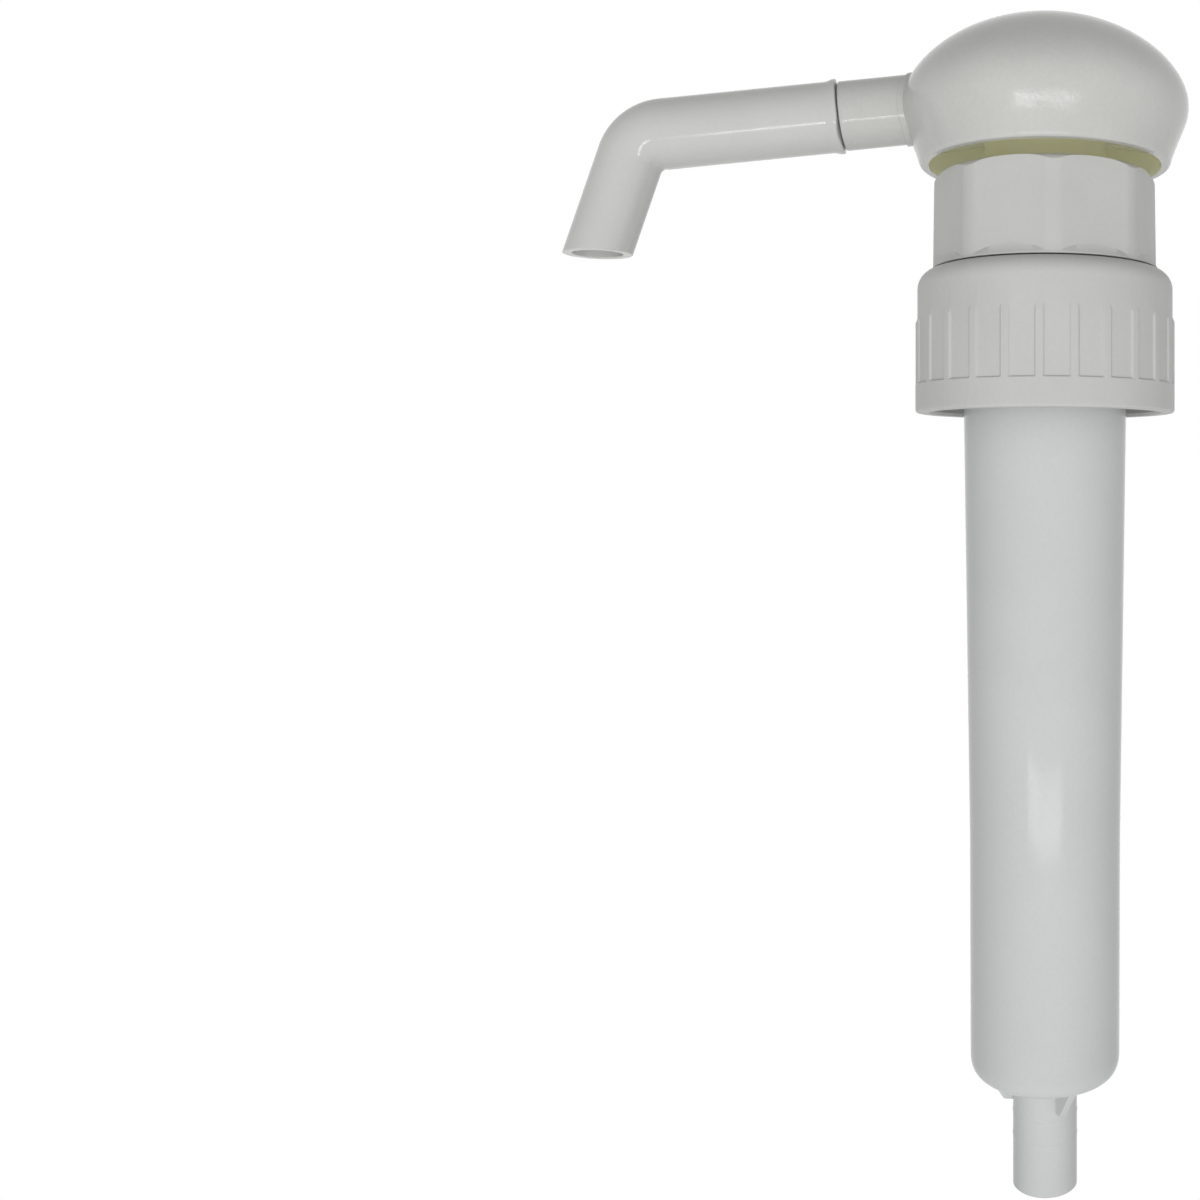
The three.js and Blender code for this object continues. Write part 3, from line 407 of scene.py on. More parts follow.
barrel_plastic = moulded("barrel_plastic", (0.64, 0.653, 0.648), (0.60, 0.613, 0.608), 0.09, 0.08,
                         (1, 1, 0.1), 0.000012, fineness=1700.0, patches=30, specks=0.05, sheen=0.1)
cone_edge = Vector((BARREL_END_R - BARREL_ROUND_WIDTH, BARREL_BOTTOM_Z + BARREL_CONE_RISE))
round_bend = Vector((BARREL_END_R, BARREL_BOTTOM_Z + BARREL_BEND_RISE))
round_end = Vector((BARREL_END_R, BARREL_STRAIGHT_Z))
outline = [(SPIGOT_BORE_R, barrel_low.z), (SPIGOT_R - SPIGOT_EDGE, barrel_low.z),
           (SPIGOT_R, barrel_low.z + SPIGOT_EDGE)]
for bead_z in SPIGOT_BEADS_Z:
    outline += [(SPIGOT_R, bead_z - SPIGOT_BEAD_HEIGHT), (SPIGOT_R + SPIGOT_BEAD_HEIGHT, bead_z),
                (SPIGOT_R, bead_z + SPIGOT_BEAD_SLOPE)]
outline += [(SPIGOT_R, BARREL_BOTTOM_Z)]
outline += bent(cone_edge, round_bend, round_end, BEND_STEPS)
outline += [(BARREL_MID_R, BARREL_MID_Z), (BARREL_TOP_R, FLANGE_FOOT_Z), (barrel_high.x, FLANGE_FOOT_Z),
            (barrel_high.x, FLANGE_TOP_Z), (MOUTH_R, FLANGE_TOP_Z), (MOUTH_R, barrel_high.z),
            (BORE_R, barrel_high.z), (BORE_R, BARREL_FLOOR_Z + FLOOR_CHAMFER),
            (BORE_R - FLOOR_CHAMFER, BARREL_FLOOR_Z), (SUCTION_SEAT_R, BARREL_FLOOR_Z),
            (SPIGOT_BORE_R, BARREL_FLOOR_Z - SUCTION_SEAT_DEPTH)]
barrel = piece("barrel_moulding", turned(outline, BARREL_STEPS), barrel_plastic)
GUSSET_COUNT, GUSSET_TURN_DEG, GUSSET_THICK, GUSSET_ROUNDING = 3, -65, 0.0015, 0.0003
GUSSET_REACH, GUSSET_FOOT, GUSSET_DROP, GUSSET_RISE, GUSSET_ROOT = 0.0069, 0.0018, 0.0043, 0.0026, 0.0008
gusset_corners = [(SPIGOT_R - GUSSET_ROOT, BARREL_BOTTOM_Z + GUSSET_RISE),
                  (SPIGOT_R + GUSSET_REACH, BARREL_BOTTOM_Z + GUSSET_RISE),
                  (SPIGOT_R + GUSSET_FOOT, BARREL_BOTTOM_Z - GUSSET_DROP),
                  (SPIGOT_R - GUSSET_ROOT, BARREL_BOTTOM_Z - GUSSET_DROP)]
for k in range(GUSSET_COUNT):
    web = plate(gusset_corners, GUSSET_THICK, math.radians(GUSSET_TURN_DEG) + 2 * math.pi * k / GUSSET_COUNT)
    combine(barrel, web, "UNION", GUSSET_ROUNDING)
vent = rod((BORE_R - VENT_R, 0, VENT_Z), (BARREL_TOP_R + VENT_R, 0, VENT_Z), VENT_R, 24)
combine(barrel, vent, "DIFFERENCE")
even_shading(barrel)
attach(barrel, "housing")
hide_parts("barrel")

# Screw cap: ribbed closure with a raised bottom band, which turns freely under the collar.
# Matt white polypropylene, moulded with its inner thread for the container's neck.
cap_low, cap_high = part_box("screw_cap")
CAP_THREAD_R, CAP_PANEL_R, CAP_OPENING_R, CAP_INNER_TOP_Z = 0.0226, 0.0254, 0.0189, 0.0041
CAP_BAND_TOP_Z, CAP_RIB_TOP_Z, CAP_RIB_STEP = -0.0164, -0.00335, 0.0009
CAP_SHOULDER_R, CAP_RIM_EDGE, CAP_ROUNDING = 0.0038, 0.0006, 0.00016
CAP_RIB_COUNT, CAP_RIB_TURN_DEG = 25, -92.3
CAP_RIB_FOOT, CAP_RIB_CREST, CAP_PANEL_COLUMNS = 0.0019, 0.00133, 4
band_r = cap_high.x
rib_height = band_r - CAP_PANEL_R
outline = [(CAP_THREAD_R, cap_low.z + CAP_RIM_EDGE), (CAP_THREAD_R + CAP_RIM_EDGE, cap_low.z)]
outline += arc((band_r - CAP_RIM_EDGE, cap_low.z + CAP_RIM_EDGE), CAP_RIM_EDGE, -90, 0, 4)
outline += [(band_r, CAP_BAND_TOP_Z - rib_height / 2), (CAP_PANEL_R, CAP_BAND_TOP_Z),
            (CAP_PANEL_R, CAP_RIB_TOP_Z - CAP_RIB_STEP), (CAP_PANEL_R, CAP_RIB_TOP_Z)]
outline += arc((CAP_PANEL_R - CAP_SHOULDER_R, cap_high.z - CAP_SHOULDER_R), CAP_SHOULDER_R, 0, 90, 8)
outline += [(CAP_OPENING_R, cap_high.z), (CAP_OPENING_R, CAP_INNER_TOP_Z), (CAP_THREAD_R, CAP_INNER_TOP_Z)]
columns = CAP_PANEL_COLUMNS + 3
bm = turned(outline, CAP_RIB_COUNT * columns)
pitch = 2 * math.pi / CAP_RIB_COUNT
foot, crest = CAP_RIB_FOOT / CAP_PANEL_R / 2, CAP_RIB_CREST / CAP_PANEL_R / 2
marks = [-foot, -crest, crest]
marks += [foot + (pitch - 2 * foot) * k / CAP_PANEL_COLUMNS for k in range(CAP_PANEL_COLUMNS)]
for v in bm.verts:
    rib, column = divmod(round(math.atan2(v.co.y, v.co.x) % (2 * math.pi) / (pitch / columns)), columns)
    radius = math.hypot(v.co.x, v.co.y)
    on_panel = abs(radius - CAP_PANEL_R) < MERGE_DISTANCE and v.co.z < CAP_RIB_TOP_Z - CAP_RIB_STEP / 2
    if column in (1, 2) and on_panel:
        radius = band_r
    angle = math.radians(CAP_RIB_TURN_DEG) + pitch * rib + marks[column]
    v.co = (radius * math.cos(angle), radius * math.sin(angle), v.co.z)
bmesh.ops.recalc_face_normals(bm, faces=bm.faces)


def helix(section, start_z, turns, lead, steps_per_turn=48):
    """Winds a closed (radius, height) section up a screw line, as a thread or a groove's cutter."""
    bm = bmesh.new()
    face = bm.faces.new([bm.verts.new((radius, 0, start_z + height)) for radius, height in section])
    bmesh.ops.spin(bm, geom=[face], axis=(0, 0, 1), cent=(0, 0, 0), dvec=(0, 0, lead / steps_per_turn),
                   steps=round(turns * steps_per_turn), angle=2 * math.pi * turns)
    bmesh.ops.recalc_face_normals(bm, faces=bm.faces)
    return bm


cap_plastic = moulded("cap_plastic", (0.60, 0.607, 0.592), (0.56, 0.567, 0.553), 0.42, 0.1,
                      (1, 1, 0.3), 0.000012, patches=45, specks=0.06)
CAP_THREAD_START_Z, CAP_THREAD_TURNS, CAP_THREAD_LEAD = -0.0185, 2.2, 0.005
CAP_THREAD_SECTION = [(0.0228, -0.0012), (0.0217, -0.0004), (0.0217, 0.0004), (0.0228, 0.0012)]
screw_cap = piece("screw_cap_moulding", bm, cap_plastic)
ease_edges(screw_cap, CAP_ROUNDING)
cap_thread = helix(CAP_THREAD_SECTION, CAP_THREAD_START_Z, CAP_THREAD_TURNS, CAP_THREAD_LEAD)
combine(screw_cap, cap_thread, "UNION")
even_shading(screw_cap)
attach(screw_cap, "cap")
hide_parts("screw_cap")

# Rubber rings: the neck gasket under the barrel's flange, which the cap presses on the container's rim,
# and the thinner guide seal between the barrel's mouth and the stem guide. Both are die-cut from sheet.
def rubber(name, colour):
    """Dull dark sheet rubber with a bloom of talc."""
    material, tree = new_material(name)
    spot = place(tree, "TexCoord").outputs["Object"]
    bloom = place(tree, "TexNoise", {"Vector": spot, "Scale": 160, "Detail": 5, "Roughness": 0.7})
    share = place(tree, "MapRange", {"Value": bloom.outputs["Fac"], "From Min": 0.35, "From Max": 0.8})
    tint = place(tree, "Mix", {"Factor": share.outputs["Result"], "A": (*colour, 1),
                               "B": (*[c * 1.6 + 0.01 for c in colour], 1)}, data_type="RGBA")
    pores = place(tree, "TexNoise", {"Vector": spot, "Scale": 2500, "Detail": 1})
    dents = place(tree, "Bump", {"Height": pores.outputs["Fac"], "Distance": 0.00003, "Strength": 0.5})
    shader = place(tree, "BsdfPrincipled", {"Base Color": tint.outputs["Result"], "Roughness": 0.7,
                                            "Normal": dents.outputs[0], "IOR": 1.5})
    place(tree, "OutputMaterial", {"Surface": shader.outputs[0]})
    return material


def ring(inner_r, outer_r, foot_z, top_z, steps=96):
    """A flat ring round the axis."""
    return turned([(inner_r, foot_z), (outer_r, foot_z), (outer_r, top_z), (inner_r, top_z)], steps)


GASKET_HOLE_R, GASKET_ROUNDING = 0.01675, 0.00012
GUIDE_SEAL_HOLE_R, GUIDE_SEAL_ROUNDING = 0.0136, 0.00008
black_rubber = rubber("black_rubber", (0.045, 0.045, 0.043))
for node, hole_r, rounding in (("neck_gasket", GASKET_HOLE_R, GASKET_ROUNDING),
                               ("guide_seal", GUIDE_SEAL_HOLE_R, GUIDE_SEAL_ROUNDING)):
    seal_low, seal_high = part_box(node)
    seal = piece(node + "_ring", ring(hole_r, seal_high.x, seal_low.z, seal_high.z), black_rubber)
    ease_edges(seal, rounding)
    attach(seal, "housing")
    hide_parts(node)

# Collar: octagon with rounded corners that runs out into a round flared foot above the screw cap.
# Matt white polypropylene; its bore carries the thread that holds the head down.
collar_low, collar_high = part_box("collar")
COLLAR_FLAT_R, COLLAR_CORNER_R, COLLAR_TURN_DEG = 0.02105, 0.005, 4.0
COLLAR_FOOT_Z, COLLAR_TOP_INSET, COLLAR_ROUND_INSET, COLLAR_ROUND_DROP = 0.0063, 0.00025, 0.00115, 0.0022
COLLAR_FLARE_LAND, COLLAR_FLARE_HEIGHT, COLLAR_ROUNDING, COLLAR_STEPS = 0.00035, 0.0023, 0.00012, 128
COLLAR_PLUG_R, COLLAR_BORE_R, COLLAR_TUBE_R, COLLAR_THREAD_R = 0.0186, 0.0168, 0.01465, 0.01235
COLLAR_CEILING_Z, COLLAR_TUBE_FOOT_Z = 0.0227, 0.0145
OVER = 0.001             # how far a cutting solid reaches past what it cuts
half_side = math.pi / 8
far_r = (COLLAR_FLAT_R - COLLAR_CORNER_R) / math.cos(half_side) + COLLAR_CORNER_R
bm = bmesh.new()
bmesh.ops.create_circle(bm, cap_ends=True, segments=8, radius=COLLAR_FLAT_R / math.cos(half_side),
                        matrix=Matrix.Translation((0, 0, COLLAR_FOOT_Z)))
grown = bmesh.ops.extrude_face_region(bm, geom=bm.faces[:])["geom"]
bmesh.ops.translate(bm, verts=[v for v in grown if isinstance(v, bmesh.types.BMVert)],
                    vec=(0, 0, collar_high.z - COLLAR_FOOT_Z))
upright = [e for e in bm.edges if abs(e.verts[0].co.z - e.verts[1].co.z) > COLLAR_ROUND_DROP]
bmesh.ops.bevel(bm, geom=upright, offset=COLLAR_CORNER_R * math.tan(half_side), segments=8, profile=0.5,
                affect="EDGES", material=-1)
for v in bm.verts:
    rise = (v.co.z - COLLAR_FOOT_Z) / (collar_high.z - COLLAR_FOOT_Z)
    share = 1 - COLLAR_TOP_INSET / COLLAR_FLAT_R * rise
    v.co = (v.co.x * share, v.co.y * share, v.co.z)
collar_turn = Matrix.Rotation(math.radians(COLLAR_TURN_DEG), 3, "Z")
bmesh.ops.rotate(bm, verts=bm.verts, cent=(0, 0, 0), matrix=collar_turn)
bmesh.ops.recalc_face_normals(bm, faces=bm.faces)
collar_plastic = moulded("collar_plastic", (0.60, 0.60, 0.585), (0.565, 0.565, 0.55), 0.4, 0.1,
                         (1, 1, 0.25), 0.000012, patches=45, specks=0.06)
collar = piece("collar_moulding", bm, collar_plastic)
shoulder_side = Vector((far_r, collar_high.z - COLLAR_ROUND_DROP))
shoulder_bend = Vector(((COLLAR_FLAT_R + far_r) / 2, collar_high.z))
shoulder_top = Vector((COLLAR_FLAT_R - COLLAR_ROUND_INSET, collar_high.z))
shoulder = [(0, collar_low.z), (far_r + OVER, collar_low.z), (far_r + OVER, shoulder_side.y)]
shoulder += bent(shoulder_side, shoulder_bend, shoulder_top, 10)
shoulder += [(0, collar_high.z)]
combine(collar, turned(shoulder, COLLAR_STEPS), "INTERSECT")
flare_z = COLLAR_FOOT_Z + COLLAR_FLARE_LAND
flare_r = COLLAR_FLAT_R - COLLAR_TOP_INSET
flare = [(0, COLLAR_FOOT_Z), (far_r, COLLAR_FOOT_Z)]
flare += [(far_r, flare_z), (flare_r, flare_z + COLLAR_FLARE_HEIGHT), (0, flare_z + COLLAR_FLARE_HEIGHT)]
combine(collar, turned(flare, COLLAR_STEPS, 0.4), "UNION", COLLAR_ROUNDING, 2)
plug = [(0, collar_low.z), (COLLAR_PLUG_R, collar_low.z), (COLLAR_PLUG_R, flare_z), (0, flare_z)]
combine(collar, turned(plug, COLLAR_STEPS, 1.1), "UNION")
core = [(0, collar_low.z - OVER), (COLLAR_BORE_R, collar_low.z - OVER), (COLLAR_BORE_R, COLLAR_CEILING_Z),
        (COLLAR_TUBE_R, COLLAR_CEILING_Z), (COLLAR_TUBE_R, COLLAR_TUBE_FOOT_Z),
        (COLLAR_THREAD_R, COLLAR_TUBE_FOOT_Z), (COLLAR_THREAD_R, collar_high.z + OVER),
        (0, collar_high.z + OVER)]
combine(collar, turned(core, COLLAR_STEPS, 1.7), "DIFFERENCE")
LOCK_THREAD_LEAD, COLLAR_GROOVE_TURNS = 0.0032, 2.6
COLLAR_GROOVE_SECTION = [(0.0122, -0.0011), (0.0131, -0.0006), (0.0131, 0.0006), (0.0122, 0.0011)]
groove_start = COLLAR_TUBE_FOOT_Z + LOCK_THREAD_LEAD / 2
groove = helix(COLLAR_GROOVE_SECTION, groove_start, COLLAR_GROOVE_TURNS, LOCK_THREAD_LEAD)
combine(collar, groove, "DIFFERENCE")
even_shading(collar)
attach(collar, "housing")
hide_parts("collar")

# Head: hollow mushroom dome with boss, ribs and the side stub whose nose holds the spout.
# Glossy white polypropylene outside. Its inside is unpolished, and painted lighter and yellowish with a faint
# glow: painted light for light that comes through the thin wall.
RIM_Z, SKIRT_HEIGHT, DOME_RISE, DOME_R, RIM_R = 0.027, 0.0116, 0.0174, 0.0286, 0.0244
LIP_THICK, DOME_WALL = 0.0012, 0.0022
EQUATOR_Z = RIM_Z + SKIRT_HEIGHT
SKIRT_SHARES = {"lip": (0.15, 0), "lip_end": (0.2, 0.1), "lower": (0.72, 0.66), "upper": (1, 0.7)}
CROWN_SIDE_SHARE, CROWN_TOP_SHARE = 0.39, 0.62


def dome_side(edge_r, widest_r, rise, crown_steps=28):
    """The dome's side from its rim up to the axis, as (radius, height) points."""
    at = {name: Vector((edge_r + across * (widest_r - edge_r), RIM_Z + up * SKIRT_HEIGHT))
          for name, (across, up) in SKIRT_SHARES.items()}
    side = bent(Vector((edge_r, RIM_Z)), at["lip"], at["lip_end"], 6)
    widest, top = Vector((widest_r, EQUATOR_Z)), Vector((0, EQUATOR_Z + rise))
    side += interpolate_bezier(at["lip_end"], at["lower"], at["upper"], widest, 20)[1:]
    side += interpolate_bezier(widest, widest + Vector((0, CROWN_SIDE_SHARE * rise)),
                               top + Vector((CROWN_TOP_SHARE * widest_r, 0)), top, crown_steps)[1:]
    return [tuple(p) for p in side]


head_plastic = moulded("head_plastic", (0.61, 0.612, 0.59), (0.55, 0.552, 0.53), 0.08, 0.1,
                       (1, 1, 0.3), 0.00003, fineness=2200.0, patches=40, specks=0.06, sheen=0.24)
inside_painted_light_plastic = moulded("head_inside_painted_light", (0.88, 0.87, 0.66), (0.84, 0.83, 0.60), 0.5, 0.1,
                       (1, 1, 1), 0.00002, patches=60, specks=0.1, milkiness=1.0, painted_glow=0.05)
outer_side = dome_side(RIM_R, DOME_R, DOME_RISE)
inner_side = dome_side(RIM_R - LIP_THICK, DOME_R - DOME_WALL, DOME_RISE - DOME_WALL)
middle_side = dome_side(RIM_R - LIP_THICK / 2, DOME_R - DOME_WALL / 2, DOME_RISE - DOME_WALL / 2)
shell = [inner_side[0]] + outer_side + inner_side[:0:-1]
HEAD_STEPS, BOSS_STEPS = 128, 96
head = piece("head_moulding", turned(shell, HEAD_STEPS, 0.7), head_plastic)
BOSS_R, BOSS_FOOT_Z, BOSS_TOP_Z = 0.0094, 0.0146, 0.0547
HEAD_RIB_THICK, HEAD_RIB_FOOT_Z, HEAD_RIB_COUNT = 0.0016, 0.03325, 6
ARM_Z, DROOP_DEG = 0.04134, 5.7
STUB_R, STUB_BORE_R, NOSE_R, JOINT_REACH, NOSE_LENGTH = 0.00676, 0.00365, 0.00485, 0.0406, 0.012
STEM_BORE_R, SOCKET_R, SOCKET_TOP_Z = 0.0042, 0.0066, 0.0376
STUB_ROUNDING, STUB_OVERLAP = 0.0004, 0.0001
ROOT_STEP, ROOT_LENGTH, ROOT_ROUNDING = 0.00035, 0.0011, 0.0003


def arm_point(reach):
    """A point on the line that stub and spout share, at a distance from the pump's axis."""
    return Vector((-reach, 0, ARM_Z - reach * math.tan(math.radians(DROOP_DEG))))


boss = [(0, BOSS_FOOT_Z), (BOSS_R, BOSS_FOOT_Z), (BOSS_R, BOSS_TOP_Z), (0, BOSS_TOP_Z)]
inside = piece("boss", turned(boss, BOSS_STEPS, 1.9), head_plastic)
web_edge = [point for point in middle_side if point[1] > HEAD_RIB_FOOT_Z and point[0] > BOSS_R / 2]
web_corners = [(BOSS_R / 2, HEAD_RIB_FOOT_Z), (web_edge[0][0], HEAD_RIB_FOOT_Z)] + web_edge
web_corners += [(BOSS_R / 2, web_edge[-1][1])]
for k in range(HEAD_RIB_COUNT):
    combine(inside, plate(web_corners, HEAD_RIB_THICK, 2 * math.pi * (k + 0.5) / HEAD_RIB_COUNT), "UNION")
combine(inside, rod(arm_point(0), arm_point(JOINT_REACH - STUB_OVERLAP), STUB_R), "UNION", STUB_ROUNDING)
combine(inside, rod(arm_point(0), arm_point(JOINT_REACH + NOSE_LENGTH), NOSE_R), "UNION")
combine(head, inside, "UNION")
root = piece("root", rod(arm_point(0), arm_point(JOINT_REACH), STUB_R + ROOT_STEP), head_plastic)
root_side = [(0, RIM_Z)] + dome_side(RIM_R + ROOT_LENGTH, DOME_R + ROOT_LENGTH, DOME_RISE + ROOT_LENGTH)
combine(root, turned(root_side, 120, 0.4), "INTERSECT")
ease_edges(root, ROOT_ROUNDING, 3)
combine(root, turned([(0, RIM_Z)] + middle_side, HEAD_STEPS, 1.1), "DIFFERENCE")
combine(head, root, "UNION")
channel = rod(arm_point(-STUB_BORE_R / 2), arm_point(JOINT_REACH + NOSE_LENGTH + OVER), STUB_BORE_R)
combine(head, channel, "DIFFERENCE")
stem_way = [(0, BOSS_FOOT_Z - OVER), (SOCKET_R, BOSS_FOOT_Z - OVER), (SOCKET_R, SOCKET_TOP_Z),
            (STEM_BORE_R, SOCKET_TOP_Z), (STEM_BORE_R, ARM_Z), (0, ARM_Z)]
combine(head, turned(stem_way, BOSS_STEPS, 1.3), "DIFFERENCE")


def wall_radius(height):
    """Radius of the middle of the dome's wall at a height."""
    for low, high in zip(middle_side, middle_side[1:]):
        if low[1] <= height < high[1]:
            return low[0] + (high[0] - low[0]) * (height - low[1]) / (high[1] - low[1])
    return middle_side[0][0] if height < RIM_Z else 0


# The faces inside the dome's wall get the lighter, yellowish, glowing plastic, painted light for light coming
# through the wall.
head.data.materials.append(inside_painted_light_plastic)
for face in head.data.polygons:
    radius = math.hypot(face.center.x, face.center.y)
    above_lip = face.center.z > RIM_Z + LIP_THICK / 4
    if radius < wall_radius(face.center.z) and (above_lip or radius < BOSS_R + LIP_THICK):
        face.material_index = 1
even_shading(head)
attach(head, "plunger")
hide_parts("head")

# Spout: bent tube pushed over the stub's nose, with a slightly flared, uneven mouth and an end cut level.
# Glossy white polypropylene, bent over a core with a crisp inner corner.
ARM_R, SPOUT_BORE_R, LEG_SHARE, SPOUT_SIDES = 0.007, 0.005, 0.9214, 64
CORNER_REACH, CORNER_DROP, BEND_R, LEG_LEAN_DEG = 0.0814, 0.02345, 0.00785, 19
SPOUT_ROUNDING, SPOUT_BEND_STEPS, MOUTH_TOUCH = 0.00018, 20, 1e-6
MOUTH_RINGS = ((0.0009, 1.004), (0.0005, 0.985), (0.0006, 0.972), (0.0008, 0.99))
MOUTH_FLARE_R = 0.00728
MOUTH_WAVES = ((3, 0.4, 0.00012), (5, 1.9, 0.0001), (8, 0.7, 0.00005))
arm = (arm_point(1) - arm_point(0)).normalized()
lean = math.radians(LEG_LEAN_DEG)
leg = Vector((-math.sin(lean), 0, -math.cos(lean)))
corner = arm_point(CORNER_REACH)
bend_angle = arm.angle(leg)
bend_back = BEND_R * math.tan(bend_angle / 2)
bend_axis = arm.cross(leg).normalized()
inward = (leg - arm * leg.dot(arm)).normalized()
bend_centre = corner - arm * bend_back + inward * BEND_R
bend_end = corner + leg * bend_back
end_z = corner.z - CORNER_DROP
leg_length = CORNER_DROP / math.cos(lean) + ARM_R


def drawn_out(bm, edges, shift, growth, centre):
    """Extrudes an open loop, and grows or shrinks its new end about a point. Returns the new loop's edges."""
    grown = bmesh.ops.extrude_edge_only(bm, edges=edges)["geom"]
    verts = [g for g in grown if isinstance(g, bmesh.types.BMVert)]
    bmesh.ops.translate(bm, verts=verts, vec=shift)
    bmesh.ops.scale(bm, verts=verts, vec=(growth, growth, growth), space=Matrix.Translation(-centre))
    return [g for g in grown if isinstance(g, bmesh.types.BMEdge) and g.is_boundary]


def spout_tube(bm, start_r, rings):
    """Draws a circle along the arm, round the bend and down the leg."""
    at = arm_point(JOINT_REACH)
    stand = Matrix.Translation(at) @ arm.to_track_quat("Z", "Y").to_matrix().to_4x4()
    verts = bmesh.ops.create_circle(bm, segments=SPOUT_SIDES, radius=start_r, matrix=stand)["verts"]
    edges = list({edge for v in verts for edge in v.link_edges})
    for length, growth in rings:
        at = at + arm * length
        edges = drawn_out(bm, edges, arm * length, growth, at)
    edges = drawn_out(bm, edges, corner - arm * bend_back - at, 1, corner)
    turned_part = bmesh.ops.spin(bm, geom=edges, axis=bend_axis, cent=bend_centre, angle=bend_angle,
                                 steps=SPOUT_BEND_STEPS)
    edges = [g for g in turned_part["geom_last"] if isinstance(g, bmesh.types.BMEdge)]
    drawn_out(bm, edges, leg * leg_length, 1, bend_end)


def narrow_leg(bm):
    """Narrows the tube about its centre line, little by little round the bend and evenly down the leg."""
    for v in bm.verts:
        spoke = v.co - bend_centre
        angle = min(max(math.atan2(spoke.dot(arm), -spoke.dot(inward)), 0), bend_angle)
        centre = bend_centre + (arm * math.sin(angle) - inward * math.cos(angle)) * BEND_R
        if angle == bend_angle:
            centre = bend_end + leg * (v.co - bend_end).dot(leg)
        v.co = centre + (v.co - centre) * (1 - (1 - LEG_SHARE) * angle / bend_angle) if angle else v.co


bm = bmesh.new()
spout_tube(bm, MOUTH_FLARE_R, MOUTH_RINGS)
mouth_side = Vector((0, 1, 0))
mouth_up = arm.cross(mouth_side)
for v in bm.verts:
    offset = v.co - arm_point(JOINT_REACH)
    if abs(offset.dot(arm)) < MOUTH_TOUCH:
        around = math.atan2(offset.dot(mouth_up), offset.dot(mouth_side))
        waves = [depth * (1 + math.sin(count * around + phase)) for count, phase, depth in MOUTH_WAVES]
        v.co += arm * sum(waves)
outer_verts = set(bm.verts)
outer_ends = [e for e in bm.edges if e.is_boundary]
spout_tube(bm, SPOUT_BORE_R, ())
narrow_leg(bm)
end_verts = [v for v in bm.verts if v.is_boundary]
for v in end_verts:
    if v.co.x < bend_centre.x:
        v.co += leg * ((end_z - v.co.z) / leg.z)
inner_verts = [v for v in end_verts if v not in outer_verts]
for edge in outer_ends:
    start, end = edge.verts
    near = [min(inner_verts, key=lambda v: (v.co - rim.co).length) for rim in (end, start)]
    bm.faces.new((start, end, *near))
bmesh.ops.recalc_face_normals(bm, faces=bm.faces)
spout_plastic = moulded("spout_plastic", (0.62, 0.622, 0.603), (0.585, 0.587, 0.57), 0.12, 0.1,
                        (0.1, 1, 1), 0.000006, fineness=1300.0, patches=40, specks=0.06, sheen=0.35)
spout = piece("spout_moulding", bm, spout_plastic)
ease_edges(spout, SPOUT_ROUNDING, 3)
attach(spout, "plunger")
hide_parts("spout")

# Lock screw: threaded sleeve pressed on the head's boss, which screws into the collar to hold the head down.
# Natural, yellowish polyacetal, with a faint painted glow for light that comes through its wall.
screw_low, screw_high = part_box("lock_screw")
SLEEVE_BORE_R, SLEEVE_ROOT_R, SLEEVE_HEAD_FOOT_Z, SLEEVE_THREAD_TURNS = 0.0095, 0.0112, 0.0236, 1.8
LOCK_THREAD_SECTION = [(0.0110, -0.001), (0.0119, -0.0005), (0.0119, 0.0005), (0.0110, 0.001)]
natural_plastic_painted_glow = moulded("natural_plastic_painted_glow", (0.88, 0.87, 0.64), (0.84, 0.83, 0.58), 0.38, 0.1,
                          (1, 1, 0.3), 0.00001, patches=60, specks=0.08, milkiness=0.8, painted_glow=0.05)
outline = [(SLEEVE_BORE_R, screw_low.z), (SLEEVE_ROOT_R, screw_low.z), (SLEEVE_ROOT_R, SLEEVE_HEAD_FOOT_Z),
           (screw_high.x, SLEEVE_HEAD_FOOT_Z), (screw_high.x, screw_high.z), (SLEEVE_BORE_R, screw_high.z)]
lock_screw = piece("lock_screw_sleeve", turned(outline, 96), natural_plastic_painted_glow)
thread_start = screw_low.z + LOCK_THREAD_LEAD / 2
combine(lock_screw, helix(LOCK_THREAD_SECTION, thread_start, SLEEVE_THREAD_TURNS, LOCK_THREAD_LEAD), "UNION")
ease_edges(lock_screw, FINE_ROUNDING)
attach(lock_screw, "plunger")
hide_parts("lock_screw")

# Stem: hollow rod from the head down to the piston, with the flange that stops the stroke.
# White polypropylene, smooth where it runs through the guide.
inner_plastic = moulded("inner_plastic", (0.70, 0.71, 0.70), (0.66, 0.67, 0.66), 0.33, 0.1,
                        (1, 1, 0.1), 0.00001, patches=50, specks=0.05)
stem_low, stem_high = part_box("stem")
STEM_R, STEM_CHAMBER_R, STEM_CHAMBER_TOP_Z = 0.0065, 0.005, -0.0704
STEM_FLANGE_R, STEM_FLANGE_FOOT_Z, STEM_FLANGE_TOP_Z = 0.0095, -0.0637, -0.0617
outline = [(STEM_CHAMBER_R, stem_low.z), (STEM_R, stem_low.z), (STEM_R, STEM_FLANGE_FOOT_Z),
           (STEM_FLANGE_R, STEM_FLANGE_FOOT_Z), (STEM_FLANGE_R, STEM_FLANGE_TOP_Z),
           (STEM_R, STEM_FLANGE_TOP_Z), (STEM_R, stem_high.z), (STEM_BORE_R, stem_high.z),
           (STEM_BORE_R, STEM_CHAMBER_TOP_Z), (STEM_CHAMBER_R, STEM_CHAMBER_TOP_Z)]
stem = piece("stem_rod", turned(outline, 64), inner_plastic)
ease_edges(stem, EDGE_ROUNDING)
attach(stem, "plunger")
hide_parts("stem")

